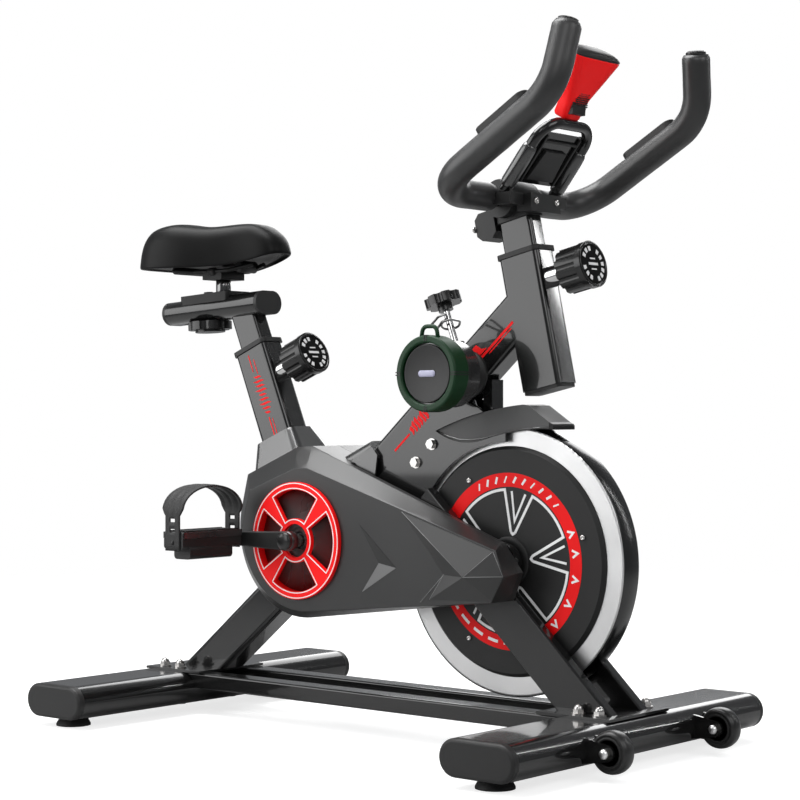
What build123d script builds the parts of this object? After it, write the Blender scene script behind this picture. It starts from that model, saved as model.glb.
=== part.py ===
from build123d import *
import os
from math import atan2, cos, hypot, radians, sin

# Indoor spin bike, in millimetres.
# X points forward, Y to the rider's left and Z up. The origin is on the floor, below the
# middle of the whole bike.

# ---------------------------------------------------------------- driving dimensions
# base
FOOT_HEIGHT, FOOT_Y = 14.0, 262.0
STAB_LENGTH, STAB_DEPTH, STAB_HEIGHT, STAB_WALL = 607.5, 120.0, 50.0, 2.0
REAR_STAB_X, FRONT_STAB_X = -431.0, 373.0
STAB_Z = FOOT_HEIGHT + STAB_HEIGHT / 2
STAB_TOP = FOOT_HEIGHT + STAB_HEIGHT
FLANGE_T = 4.0
FLANGE_TOP = STAB_TOP + FLANGE_T
STUD_DX, STUD_Y, STUD_R = 17.0, 56.0, 4.1
RAIL_Y, RAIL_WIDTH, RAIL_HEIGHT = 48.5, 35.0, 24.0
WHEEL_X, WHEEL_Y, WHEEL_Z, WHEEL_R = 463.0, 132.0, 38.0, 28.0
WHEEL_BOLT_R = 4.9

# flywheel and its fork
FLY_X, FLY_Z = 215.0, 264.5
RIM_R, RIM_INNER_R, RIM_HALF = 190.0, 162.0, 18.0
COVER_FACE, HUB_R, FLY_AXLE_R, FLY_BEARING_R = 24.0, 22.0, 8.5, 16.0
LEG_IN, LEG_OUT, LEG_DEPTH, LEG_SLOPE, LEG_FOOT_X = 28.0, 46.0, 62.0, -43.3, 356.6
GUSSET_IN = 22.0
GUSSET_BOLTS = ((79.5, 427.6), (49.8, 400.7))

# cranks and belt
CRANK_X, CRANK_Z, CRANK_LENGTH = -130.0, 283.0, 104.0
CRANK_AXLE_R, CRANK_BEARING_R, SHELL_R, SHELL_HALF = 10.0, 20.0, 27.0, 38.0
ARM_IN, ARM_OUT, CAP_T = 99.0, 113.0, 4.0
SPINDLE_R, SPINDLE_END = 7.0, 232.0
PEDAL_NEAR, PEDAL_FAR = 121.0, 242.0
PULLEY_R, FLY_PULLEY_R, PULLEY_FLANGE = 70.0, 18.0, 4.0
PULLEY_IN, PULLEY_OUT = 60.0, 74.0
BELT_GAP, BELT_T = 0.3, 3.0

# welded frame
TUBE_WALL = 2.0
SEAT_LEAN, SEAT_AXIS = 22.5, (-276.5, 527.0)
SEAT_TUBE, SEAT_POST = (66.0, 44.0), (50.0, 30.0)
SEAT_TUBE_TOP, SEAT_TUBE_FOOT = 48.0, -232.0
HEAD_LEAN, HEAD_AXIS = 12.2, (227.6, 693.7)
HEAD_TUBE, BAR_POST, HEAD_TUBE_LENGTH = (68.0, 44.0), (56.0, 30.0), 190.0
DOWN_ANGLE, DOWN_AXIS, DOWN_TUBE = 41.5, (110.4, 510.8), (64.0, 44.0)
REAR_LEG, REAR_LEG_X = (58.0, 50.0), -395.4
LINER_GAP = 0.4

# chain guard: half outlines in X and Z, on the ridge and on the flat face
GUARD_IN, GUARD_RIDGE, GUARD_FACE, GUARD_WALL = 48.0, 58.0, 88.0, 2.5
RIDGE = [(-158, 421), (-127, 423), (226, 293), (258, 252.5), (242, 213), (-130, 166), (-277, 318),
         (-262, 378)]
FACE = [(-135, 390.5), (-111, 391), (241, 284), (254, 249), (233, 212), (-118, 178), (-246, 300),
        (-230, 355)]
RIDGE_ROUND, FACE_ROUND, ROUND_ANGLE = 135.0, 106.0, 217.0
TRIM_R, TRIM_INNER_R, TRIM_T = 87.0, 76.0, 6.0

# brake, along a line through the flywheel's centre
BRAKE_LEAN = 20.3
BRAKE_WAY = (-sin(radians(BRAKE_LEAN)), 0, cos(radians(BRAKE_LEAN)))
BRAKE_PAD_R, BRAKE_SHOE_R, BRAKE_SHOE_TOP = 197.0, 203.0, 207.0
BRAKE_GUIDE, BRAKE_ROD_END, BRAKE_KNOB_R = (296.0, 328.0), 397.0, 389.0

# pull pins
SEAT_PIN, BAR_PIN, PIN_STEP = -2.0, -40.0, 25.0
SEAT_PIN_STAND, BAR_PIN_STAND = 12.0, 13.0
SEAT_PIN_REACH, BAR_PIN_REACH = 7.0, 5.0
PIN_R, FIT = 5.0, 0.06

# seat slide and saddle
SLIDE_TILT, SLIDE_MID = 3.5, (-379.3, 639.0)
SLIDE_LENGTH, SLIDE_WIDTH, SLIDE_HEIGHT = 200.0, 58.0, 37.0
CARRIAGE_BOLT = -26.0
STEM_X, STEM_R, STEM_TOP = -373.5, 11.5, 690.0
SADDLE_REAR, SADDLE_NOSE = -500.0, -239.0

# handlebar and console
BAR_R, GRIP_R, GRIP_INNER_Y = 12.5, 20.0, 52.0
PULSE_AT = 147
BAR_END, BAR_ELBOW, BAR_CORNER = (409.4, 155.3, 978.0), (400.1, 176.0, 888.8), (203.1, 171.6, 774.0)
ELBOW_BEND, CORNER_BEND = 74.0, 70.0
CLAMP_R, CLAMP_WIDTH = 27.0, 64.0
LOOP_FOOT, LOOP_CREST, LOOP_R, LOOP_BEND = (232, 58, 782), (304, 58, 871), 8.0, 34.0

# speaker on the down tube
SPEAKER_X, SPEAKER_Z = 142.0, 527.5

PARTS = {}


# ---------------------------------------------------------------- helpers
def keep(name, *shapes):
    """Record one named piece; several solids make one node of separate solids."""
    found = [solid for shape in shapes for solid in shape.solids()]
    PARTS[name] = found[0] if len(found) == 1 else Compound(found)


def prism(face, y_low, y_high):
    """Extrude a sketch drawn in X and Z between two Y values."""
    return extrude(Plane.XZ.offset(-y_low) * face, amount=-(y_high - y_low))


def side_prism(face, side, near, far):
    """The same, between two distances from the middle on side -1 (right) or 1 (left)."""
    low, high = sorted((side * near, side * far))
    return prism(face, low, high)


def disc(x, z, radius, y_low, y_high):
    return prism(Pos(x, z) * Circle(radius), y_low, y_high)


def ring(x, z, outer, inner, y_low, y_high):
    return prism(Pos(x, z) * (Circle(outer) - Circle(inner)), y_low, y_high)


def outline(*points):
    return make_face(Polyline(*points, close=True))


def box(x, y, z):
    """Box from three (low, high) pairs."""
    size = [high - low for low, high in (x, y, z)]
    middle = [(high + low) / 2 for low, high in (x, y, z)]
    return Pos(*middle) * Box(*size)


def both_sides(shape):
    """A piece and its mirror image on the other side of the bike."""
    return [shape, mirror(shape, about=Plane.XZ)]


def largest(shape):
    return shape.solids().sort_by(SortBy.VOLUME)[-1]


def slope_plane(x, z, way):
    """Plane across a tube that runs along `way` in X and Z."""
    return Plane(origin=(x, 0, z), x_dir=(-way[1], 0, way[0]), z_dir=(way[0], 0, way[1]))


def lean_plane(axis_point, lean, distance=0.0):
    """Plane across a post that leans back by `lean` degrees, `distance` up its axis."""
    x, z = axis_point
    up = (-sin(radians(lean)), 0, cos(radians(lean)))
    origin = (x + up[0] * distance, 0, z + up[2] * distance)
    return Plane(origin=origin, x_dir=(up[2], 0, -up[0]), z_dir=up)


def seat_plane(distance):
    return lean_plane(SEAT_AXIS, SEAT_LEAN, distance)


def head_plane(distance):
    return lean_plane(HEAD_AXIS, HEAD_LEAN, distance)


def down_plane(distance):
    """Plane across the down tube, `distance` up it."""
    way = (cos(radians(DOWN_ANGLE)), sin(radians(DOWN_ANGLE)))
    return slope_plane(DOWN_AXIS[0] + way[0] * distance, DOWN_AXIS[1] + way[1] * distance, way)


def pin_plane(axis_point, lean, distance, reach):
    """Plane that looks forward across a post, `distance` up it and `reach` ahead of its axis."""
    base = lean_plane(axis_point, lean, distance)
    return Plane(origin=base.origin + base.x_dir * reach, x_dir=(0, 1, 0), z_dir=base.x_dir)


def brake_point(radius):
    """Point on the brake rod's line, at a distance from the flywheel's centre."""
    return (FLY_X + BRAKE_WAY[0] * radius, 0, FLY_Z + BRAKE_WAY[2] * radius)


def brake_plane(radius):
    return Plane(origin=brake_point(radius), x_dir=(0, 1, 0), z_dir=BRAKE_WAY)


def bar(plane, size, height, radius):
    """Rounded rectangular bar that stands on a plane."""
    return extrude(plane * RectangleRounded(size[0], size[1], radius), amount=height)


def inner(size, wall=TUBE_WALL):
    return (size[0] - 2 * wall, size[1] - 2 * wall)


def rod(start, end, radius):
    """Round bar between two points."""
    way = Vector(*end) - Vector(*start)
    return extrude(Plane(origin=start, z_dir=way) * Circle(radius), amount=way.length)


def lobed(plane, radius, depth, lobes, height):
    """Grip knob: a disc with rounded hollows around its edge."""
    section = Circle(radius)
    hollow = radius * sin(radians(180 / lobes)) * 0.6
    for n in range(lobes):
        section -= Rot(0, 0, 360 * n / lobes) * Pos(radius + hollow - depth, 0) * Circle(hollow)
    return extrude(plane * section, amount=height)


def stud_spots(x):
    return [(x + dx, y) for dx in (-STUD_DX, STUD_DX) for y in (-STUD_Y, STUD_Y)]


# ---------------------------------------------------------------- base
def stabiliser(x, y_low, y_high, wall=0.0):
    return prism(Pos(x, STAB_Z) * SlotOverall(STAB_DEPTH - 2 * wall, STAB_HEIGHT - 2 * wall), y_low, y_high)


def make_stabilisers():
    half, cap_t, plug, cap_wall = STAB_LENGTH / 2, 12.0, 18.0, 6.0
    tubes, caps = [], []
    for x in (REAR_STAB_X, FRONT_STAB_X):
        tube = stabiliser(x, cap_t - half, half - cap_t) - stabiliser(x, -half, half, STAB_WALL)
        for y in (-FOOT_Y, FOOT_Y):
            tube -= Pos(x, y, FOOT_HEIGHT) * Cylinder(STUD_R, 20)
        for spot_x, spot_y in stud_spots(x):
            tube -= Pos(spot_x, spot_y, STAB_Z) * Cylinder(STUD_R, STAB_HEIGHT + 10)
        tubes.append(tube)
        cap = stabiliser(x, half - cap_t, half)
        cap = fillet(cap.faces().sort_by(Axis.Y)[-1].edges(), 5)
        cap += stabiliser(x, half - cap_t - plug, half - cap_t, STAB_WALL)
        cap -= stabiliser(x, half - cap_t - plug, half - cap_t / 2, cap_wall)
        caps += both_sides(cap)
    keep("stabilizers", *tubes)
    keep("stabilizer_end_caps", *caps)


def make_feet():
    """Four rubber feet on threaded studs, at the ends of the stabilisers."""
    profile = outline((0, 0), (26, 0), (26, 2.5), (20, FOOT_HEIGHT - 0.5), (0, FOOT_HEIGHT - 0.5))
    foot = revolve(Plane.XZ * profile, Axis.Z) + Pos(0, 0, 20) * Cylinder(STUD_R, 20)
    spots = [(x, y) for x in (REAR_STAB_X, FRONT_STAB_X) for y in (-FOOT_Y, FOOT_Y)]
    keep("rubber_feet", *[Pos(x, y, 0) * foot for x, y in spots])


def make_transport_wheels():
    """Two small wheels in forked cheeks in front of the front stabiliser."""
    side, cheek_t, bolt_half = 13.5, 4.0, 16.0
    root_x = FRONT_STAB_X + STAB_DEPTH / 2 - 10
    front_tube = stabiliser(FRONT_STAB_X, -STAB_LENGTH / 2, STAB_LENGTH / 2)
    tyre = outline((5, -11), (24, -11), (27, -8), (WHEEL_R, -4), (WHEEL_R, 4), (27, 8), (24, 11), (5, 11))
    wheel = revolve(Plane.XZ * tyre, Axis.Z) - Cylinder(WHEEL_BOLT_R + FIT, 60)
    for dz in (-11, 11):
        wheel -= Pos(0, 0, dz) * (Cylinder(19, 6) - Cylinder(9, 6))
    cheek = make_hull((Pos(WHEEL_X, WHEEL_Z) * Circle(11)).edges()
                      + (Pos(root_x, WHEEL_Z) * Rectangle(6, 34)).edges())
    hexagon = Pos(WHEEL_X, WHEEL_Z) * RegularPolygon(7.5, 6)
    brackets, bolts = [], []
    for name, y in (("wheel_right", -WHEEL_Y), ("wheel_left", WHEEL_Y)):
        keep(name, Pos(WHEEL_X, y, WHEEL_Z) * Rot(90, 0, 0) * wheel)
        bolt = disc(WHEEL_X, WHEEL_Z, WHEEL_BOLT_R, y - bolt_half, y + bolt_half)
        bolts.append(bolt + prism(hexagon, y - 21, y - bolt_half) + prism(hexagon, y + bolt_half, y + 22))
        for middle in (y - side, y + side):
            plate = prism(cheek, middle - cheek_t / 2, middle + cheek_t / 2) - front_tube
            brackets.append(largest(plate - disc(WHEEL_X, WHEEL_Z, WHEEL_BOLT_R, y - 30, y + 30)))
    return brackets, bolts


def make_flanges():
    """Plates bolted to the stabilisers, with their studs and acorn nuts."""
    plates, studs, nuts = [], [], []
    width = 144.0
    for x, back, front in ((REAR_STAB_X, 44, 76), (FRONT_STAB_X, 76, 44)):
        plate = box((x - back, x + front), (-width / 2, width / 2), (STAB_TOP, FLANGE_TOP))
        for spot_x, spot_y in stud_spots(x):
            plate -= Pos(spot_x, spot_y, STAB_TOP) * Cylinder(STUD_R, 30)
            stud = rod((spot_x, spot_y, FOOT_HEIGHT - 3), (spot_x, spot_y, FLANGE_TOP + 8), STUD_R)
            stud += rod((spot_x, spot_y, FOOT_HEIGHT - 3), (spot_x, spot_y, FOOT_HEIGHT), 9)
            nut = extrude(Pos(spot_x, spot_y, FLANGE_TOP) * RegularPolygon(8, 6), amount=7)
            nut += Pos(spot_x, spot_y, FLANGE_TOP + 7) * Sphere(6.6)
            nut += rod((spot_x, spot_y, FLANGE_TOP), (spot_x, spot_y, FLANGE_TOP + 2), 10)
            studs.append(stud)
            nuts.append(nut - stud)
        plates.append(plate)
    return plates, studs, nuts


def make_rails():
    """Two long rails that tie the stabilisers together."""
    middle = (FRONT_STAB_X + REAR_STAB_X) / 2
    section = RectangleRounded(RAIL_HEIGHT, RAIL_WIDTH, 3)
    section -= RectangleRounded(*inner((RAIL_HEIGHT, RAIL_WIDTH)), 1.5)
    rail = extrude(section, amount=(FRONT_STAB_X - REAR_STAB_X) / 2 - 20, both=True)
    rail = Pos(middle, RAIL_Y, STAB_TOP - RAIL_HEIGHT / 2) * Rot(0, 90, 0) * rail
    for x in (REAR_STAB_X, FRONT_STAB_X):
        rail -= stabiliser(x, -200, 200)
    keep("base_rails", *both_sides(largest(rail)))


# ---------------------------------------------------------------- welded frame
def make_frame():
    """Tubes of the welded frame, each one a piece of its own. Returns the solid tubes."""
    seat_length = SEAT_TUBE_TOP - SEAT_TUBE_FOOT
    shell = disc(CRANK_X, CRANK_Z, SHELL_R, -SHELL_HALF, SHELL_HALF)
    seat = bar(seat_plane(SEAT_TUBE_FOOT), SEAT_TUBE, seat_length, 8) - shell
    head = bar(head_plane(-HEAD_TUBE_LENGTH), HEAD_TUBE, HEAD_TUBE_LENGTH, 8)
    down = largest(bar(down_plane(-330), DOWN_TUBE, 500, 8) - head - shell - seat)
    rise = atan2(CRANK_Z - FLANGE_TOP, CRANK_X - REAR_LEG_X)
    way = (cos(rise), sin(rise))
    leg_start = slope_plane(REAR_LEG_X - 60 * way[0], FLANGE_TOP - 60 * way[1], way)
    below = box((-800, 0), (-50, 50), (FLANGE_TOP - 200, FLANGE_TOP))
    leg = largest(bar(leg_start, REAR_LEG, 400, 8) - below - seat - down - shell)

    seat_bore = bar(seat_plane(SEAT_TUBE_FOOT), inner(SEAT_TUBE), seat_length, 6)
    seat_bore += extrude(pin_plane(SEAT_AXIS, SEAT_LEAN, SEAT_PIN, 0) * Circle(9), amount=60)
    keep("seat_tube", largest(seat - seat_bore))
    head_bore = bar(head_plane(-HEAD_TUBE_LENGTH), inner(HEAD_TUBE), HEAD_TUBE_LENGTH, 6)
    head_bore += extrude(pin_plane(HEAD_AXIS, HEAD_LEAN, BAR_PIN, 0) * Circle(9), amount=60)
    keep("head_tube", largest(head - head_bore))
    down_bore = bar(down_plane(-240), inner(DOWN_TUBE), 340, 6) - head - seat
    keep("down_tube", largest(down - down_bore - rod(brake_point(180), brake_point(420), 7)))
    keep("rear_leg", largest(leg - bar(leg_start, inner(REAR_LEG), 330, 6)))
    keep("bottom_bracket_shell", shell - disc(CRANK_X, CRANK_Z, CRANK_BEARING_R, -SHELL_HALF, SHELL_HALF))
    return {"seat": seat, "head": head, "down": down, "leg": leg, "shell": shell}


def make_fork():
    """Twin legs beside the flywheel, with the plates that hold its axle and tie it to the frame."""
    angle = radians(LEG_SLOPE)
    way = (cos(angle), sin(angle))
    back, ahead = 400.0, 60.0
    start = slope_plane(LEG_FOOT_X - way[0] * back, FLANGE_TOP - way[1] * back, way)
    width, middle = LEG_OUT - LEG_IN, (LEG_IN + LEG_OUT) / 2
    across = Pos(0, -middle)
    solid_leg = extrude(start * (across * RectangleRounded(LEG_DEPTH, width, 3)), amount=back + ahead)
    bore = RectangleRounded(*inner((LEG_DEPTH, width)), 1.5)
    hollow = extrude(start * (across * bore), amount=back + ahead)
    floor = box((LEG_FOOT_X - 200, LEG_FOOT_X + 200), (0, 100), (FLANGE_TOP - 200, FLANGE_TOP))
    bearing_seat = disc(FLY_X, FLY_Z, FLY_BEARING_R, 0, 100)
    keep("fork_legs", *both_sides(largest(solid_leg - hollow - floor - bearing_seat)))
    mount = make_hull((Pos(FLY_X, FLY_Z) * Circle(27)).edges()
                      + (Pos(FLY_X - 34, FLY_Z - 12) * Rot(0, 0, LEG_SLOPE) * Rectangle(70, 34)).edges())
    axle_plate = largest(prism(mount, LEG_IN + 1, LEG_OUT - 1) - solid_leg - bearing_seat)

    web = outline((-30, 372), (112, 500), (160, 482), (212, 448), (212, 300), (60, 300), (-4, 346))
    web -= Pos(FLY_X, FLY_Z) * Circle(RIM_INNER_R + 6)
    gusset = prism(web, GUSSET_IN, LEG_IN) - prism(fender_outline(), -30, 30)
    bolts = []
    for x, z in GUSSET_BOLTS:
        gusset -= disc(x, z, 4, 0, 60)
        bolt = disc(x, z, 4, GUSSET_IN, LEG_IN + 1) + disc(x, z, 8.5, LEG_IN, LEG_IN + 1.5)
        bolt += prism(Pos(x, z) * RegularPolygon(7, 6), LEG_IN + 1.5, LEG_IN + 7)
        bolts += both_sides(bolt)
    return both_sides(axle_plate) + both_sides(largest(gusset)), bolts


def make_bearings():
    """Sealed bearings of the crank axle and the flywheel axle."""
    crank = ring(CRANK_X, CRANK_Z, CRANK_BEARING_R, CRANK_AXLE_R + FIT, SHELL_HALF - 13, SHELL_HALF - 1)
    flywheel = ring(FLY_X, FLY_Z, FLY_BEARING_R, FLY_AXLE_R + FIT, LEG_IN + 4, LEG_OUT - 2)
    keep("sealed_bearings", *both_sides(crank), *both_sides(flywheel))


# ---------------------------------------------------------------- flywheel
def pulley(x, z, radius, bore):
    flange = radius + PULLEY_FLANGE
    wheel = ring(x, z, radius, bore, -PULLEY_OUT, -PULLEY_IN)
    wheel += ring(x, z, flange, bore, -PULLEY_OUT - 2, -PULLEY_OUT)
    return wheel + ring(x, z, flange, bore, -PULLEY_IN, -PULLEY_IN + 2)


def make_flywheel():
    rim = ring(FLY_X, FLY_Z, RIM_R, RIM_INNER_R, -RIM_HALF, RIM_HALF)
    rim = fillet(rim.edges().filter_by(GeomType.CIRCLE).sort_by(SortBy.RADIUS)[-2:], 4)
    web = ring(FLY_X, FLY_Z, RIM_INNER_R, HUB_R, -2.5, 2.5)
    hub = ring(FLY_X, FLY_Z, HUB_R, FLY_AXLE_R, -COVER_FACE, COVER_FACE)
    keep("flywheel", rim + web + hub)
    cover = disc(FLY_X, FLY_Z, RIM_INNER_R, 6, COVER_FACE)
    cover = chamfer(cover.edges().filter_by(GeomType.CIRCLE).sort_by(Axis.Y)[-1:], 5)
    cover -= ring(FLY_X, FLY_Z, RIM_INNER_R - 3, 30, 6, COVER_FACE - 6)
    keep("flywheel_face_covers", *both_sides(cover - disc(FLY_X, FLY_Z, HUB_R, 0, 40)))
    axle = disc(FLY_X, FLY_Z, FLY_AXLE_R, -PULLEY_OUT - 6, 56)
    keep("flywheel_axle", axle + prism(Pos(FLY_X, FLY_Z) * RegularPolygon(14, 6), 47, 55))
    keep("flywheel_pulley", pulley(FLY_X, FLY_Z, FLY_PULLEY_R, FLY_AXLE_R))


# ---------------------------------------------------------------- cranks, belt and pedals
def make_cranks():
    wheel = pulley(CRANK_X, CRANK_Z, PULLEY_R, CRANK_AXLE_R)
    for n in range(5):
        angle = radians(90 + 72 * n)
        wheel -= disc(CRANK_X + 44 * cos(angle), CRANK_Z + 44 * sin(angle), 14, -90, -40)
    keep("crank_pulley", wheel)
    arms, spindles = [], []
    for side, name in ((-1, "right"), (1, "left")):
        pedal_x = CRANK_X + side * CRANK_LENGTH
        face = make_hull((Pos(CRANK_X, CRANK_Z) * Circle(14.5)).edges()
                         + (Pos(pedal_x, CRANK_Z) * Circle(10.5)).edges())
        arm = side_prism(face, side, ARM_IN, ARM_OUT)
        arm = chamfer(arm.edges().filter_by(Plane.XZ), 1.5)
        arm -= disc(CRANK_X, CRANK_Z, CRANK_AXLE_R, -ARM_OUT, ARM_OUT)
        arm += side_prism(Pos(CRANK_X, CRANK_Z) * Circle(13.5), side, ARM_OUT, ARM_OUT + CAP_T)
        spindle = side_prism(Pos(pedal_x, CRANK_Z) * Circle(SPINDLE_R), side, ARM_IN, SPINDLE_END)
        arms.append(arm - spindle)
        spindles.append(spindle)
        make_pedal(side, name, pedal_x)
    keep("crank_arms", *arms)
    keep("crank_and_pedal_axles", disc(CRANK_X, CRANK_Z, CRANK_AXLE_R, -ARM_OUT, ARM_OUT), *spindles)


def make_pedal(side, name, x):
    """Platform with a weight below, and the strap that closes over the shoe."""
    strap_half, body_half, top, weight_half = 16.0, 20.0, 15.0, 17.0
    body = side_prism(Pos(x, CRANK_Z + 3) * RectangleRounded(2 * body_half, 2 * top - 6, 4), side,
                      PEDAL_NEAR, PEDAL_FAR)
    body += side_prism(Pos(x + 4, CRANK_Z - 15) * RectangleRounded(2 * weight_half, 20, 6), side,
                       PEDAL_NEAR + 20, PEDAL_FAR - 14)
    body -= side_prism(Pos(x, CRANK_Z) * Circle(SPINDLE_R + FIT), side, PEDAL_NEAR - 5, SPINDLE_END + FIT)
    keep("pedal_body_" + name, body)
    middle, half = (PEDAL_NEAR + PEDAL_FAR) / 2, (PEDAL_FAR - PEDAL_NEAR) / 2 + 2.6
    shoulder, crest = CRANK_Z + 46, CRANK_Z + 84
    arch = ThreePointArc((-half, shoulder), (0, crest), (half, shoulder))
    sides = Polyline((half, shoulder), (half, CRANK_Z), (-half, CRANK_Z), (-half, shoulder))
    loop = make_face([arch, *sides.edges()])
    across = Plane(origin=(x - strap_half, side * middle, 0), x_dir=(0, 1, 0), z_dir=(1, 0, 0))
    strap = extrude(across * (loop - offset(loop, -2.5)), amount=2 * strap_half)
    strap -= side_prism(Pos(x, CRANK_Z - 1) * Rectangle(80, 2 * top + 4), side, PEDAL_NEAR, PEDAL_FAR)
    strap -= side_prism(Pos(x, CRANK_Z) * Circle(13), side, ARM_OUT, PEDAL_NEAR)
    keep("pedal_strap_" + name, largest(strap))


def make_belt():
    def loop(extra):
        return make_hull((Pos(CRANK_X, CRANK_Z) * Circle(PULLEY_R + extra)).edges()
                         + (Pos(FLY_X, FLY_Z) * Circle(FLY_PULLEY_R + extra)).edges())
    belt = loop(BELT_GAP + BELT_T) - loop(BELT_GAP)
    keep("drive_belt", prism(belt, 0.5 - PULLEY_OUT, -PULLEY_IN - 0.5))


# ---------------------------------------------------------------- chain guard
def shrink(points, amount):
    """The same corners, moved towards the middle of their outline."""
    middle_x = sum(x for x, z in points) / len(points)
    middle_z = sum(z for x, z in points) / len(points)
    moved = []
    for x, z in points:
        away = hypot(middle_x - x, middle_z - z)
        moved.append((x + (middle_x - x) / away * amount, z + (middle_z - z) / away * amount))
    return moved


def guard_wire(points, round_radius, y):
    """Closed guard outline: straight facets, and one arc round the crank at the back."""
    angle = radians(ROUND_ANGLE)
    corners = [Vector(x, y, z) for x, z in points]
    round_mid = Vector(CRANK_X + round_radius * cos(angle), y, CRANK_Z + round_radius * sin(angle))
    lines = [Line(a, b) for a, b in zip(corners[:5], corners[1:6])]
    arc = ThreePointArc(corners[5], round_mid, corners[6])
    return Wire([*lines, arc, Line(corners[6], corners[7]), Line(corners[7], corners[0])])


def guard_solid(wall):
    """Outer form of the right half of the guard, or the space inside it at a wall thickness."""
    move = wall * 1.3
    high = guard_wire(shrink(FACE, move), FACE_ROUND - wall, wall - GUARD_FACE)
    low = guard_wire(shrink(RIDGE, move), RIDGE_ROUND - wall, -GUARD_RIDGE)
    bevel = Solid.make_loft([low, high], ruled=True)
    side = extrude(Face(low), amount=GUARD_RIDGE - GUARD_IN, dir=(0, 1, 0))
    centre = extrude(Face(low), amount=GUARD_RIDGE, dir=(0, 1, 0))
    return bevel + side + (centre & box((-600, -60 - wall), (-100, 0.001), (0, 600)))


def boot(low, high, top, base, hole):
    """Tapered collar that closes the guard round a frame tube."""
    skin = loft([low * RectangleRounded(*base, 16), high * RectangleRounded(*top, 12)])
    inside = loft([low * RectangleRounded(*inner(base, 2.5), 14),
                   high.offset(-3) * RectangleRounded(*inner(top, 2.5), 10)])
    return skin - inside - bar(low.offset(-10), hole, 200, 8)


def make_guards(frame):
    outer, hollow = guard_solid(0), guard_solid(GUARD_WALL)
    clear = 0.5
    seat_hole = (SEAT_TUBE[0] + clear, SEAT_TUBE[1] + clear)
    down_hole = (DOWN_TUBE[0] + clear, DOWN_TUBE[1] + clear)
    cuts = [bar(seat_plane(SEAT_TUBE_FOOT - 60), seat_hole, 400, 8),
            bar(down_plane(-400), down_hole, 700, 8), frame["leg"], frame["shell"],
            box((-25, 65), (-LEG_OUT - clear, LEG_OUT + clear), (320, 440))]
    opening = disc(CRANK_X, CRANK_Z, TRIM_INNER_R + 4, -100, -50)
    rear_half = box((-560, -20), (-150, 150), (0, 600))
    right = outer - hollow - opening
    left = mirror(outer & rear_half, about=Plane.XZ)
    left -= mirror(hollow & box((-560, -20 - GUARD_WALL), (-150, 150), (0, 600)), about=Plane.XZ)
    left -= disc(CRANK_X, CRANK_Z, 24, 50, 120)
    for cut in cuts:
        right -= cut
        left -= cut
    keep("chain_guard_right", largest(right))
    keep("chain_guard_left", largest(left))
    seat_boot = boot(seat_plane(-150), seat_plane(-98), (81, 57), (110, 88), seat_hole)
    down_boot = boot(down_plane(-228), down_plane(-168), (84, 57), (112, 88), down_hole)
    gussets = box((-25, 65), (-LEG_IN - clear, LEG_IN + clear), (320, 480))
    both = outer + mirror(outer, about=Plane.XZ) + cuts[-1]
    keep("guard_boots", largest(seat_boot - both), largest(down_boot - both - gussets))


def make_trim():
    """Round trim over the crank pulley, with four spokes between its openings."""
    trim = Circle(TRIM_R) - Circle(TRIM_INNER_R) + Circle(33)
    half = radians(11)
    for n in range(4):
        spoke = outline((0, 0), (80 * cos(half), 80 * sin(half)), (80 * cos(half), -80 * sin(half)))
        trim += Rot(0, 0, 45 + 90 * n) * spoke
    trim -= Circle(25)
    plate = prism(Pos(CRANK_X, CRANK_Z) * trim, -GUARD_FACE - TRIM_T, -GUARD_FACE)
    collar = ring(CRANK_X, CRANK_Z, TRIM_INNER_R + 3.7, TRIM_INNER_R, -GUARD_FACE, 8 - GUARD_FACE)
    keep("crank_trim_ring", plate + collar)


# ---------------------------------------------------------------- flywheel cover and brake
def fender_outline():
    top = ThreePointArc((85.5, 446.8), (163, 472), (240, 484.5))
    nose = Polyline((240, 484.5), (250, 483), (291, 456.5), (292.4, 450.5))
    skirt = ThreePointArc((292.4, 450.5), (232, 447.6), (172, 434))
    tail = ThreePointArc((172, 434), (128, 431.5), (85.5, 446.8))
    return make_face([top, *nose.edges(), skirt, tail])


def make_brake(frame):
    half, wall = 25.0, 2.3
    below = outline((94, 444), (150, 460), (284, 456), (289, 452), (289, 400), (94, 400))
    room = offset(fender_outline(), -wall) + below
    skin = prism(fender_outline(), -half, half) - prism(room, wall - half, half - wall)
    keep("flywheel_cover", largest(skin - rod(brake_point(180), brake_point(260), 7) - frame["down"]))
    bracket = box((161, 177), (-13, 13), (474, 520)) - prism(fender_outline(), -half, half)
    bracket = bracket.solids().sort_by(Axis.Z)[-1]
    bracket = (bracket - bar(down_plane(-300), DOWN_TUBE, 600, 8)).solids().sort_by(Axis.Z)[0]
    guide = rod(brake_point(BRAKE_GUIDE[0]), brake_point(BRAKE_GUIDE[1]), 13)
    guide = largest(guide - bar(down_plane(-300), DOWN_TUBE, 600, 8))
    guide -= rod(brake_point(280), brake_point(340), PIN_R + FIT)

    shaft = rod(brake_point(BRAKE_SHOE_R), brake_point(BRAKE_ROD_END), PIN_R)
    shoe = bar(brake_plane(BRAKE_SHOE_R), (30, 48), BRAKE_SHOE_TOP - BRAKE_SHOE_R, 3)
    keep("brake_rod", shaft + shoe)
    pad = bar(brake_plane(BRAKE_PAD_R - 10), (28, 46), BRAKE_SHOE_R - BRAKE_PAD_R + 10, 2)
    keep("brake_pad", pad - disc(FLY_X, FLY_Z, BRAKE_PAD_R, -40, 40))
    knob = lobed(brake_plane(BRAKE_KNOB_R), 27, 4, 7, 14)
    knob += extrude(brake_plane(BRAKE_KNOB_R - 9) * Circle(11), amount=9)
    bore = rod(brake_point(BRAKE_KNOB_R - 20), brake_point(BRAKE_ROD_END + FIT), PIN_R + FIT)
    keep("brake_knob", knob - bore)
    return [bracket, guide]


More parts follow.
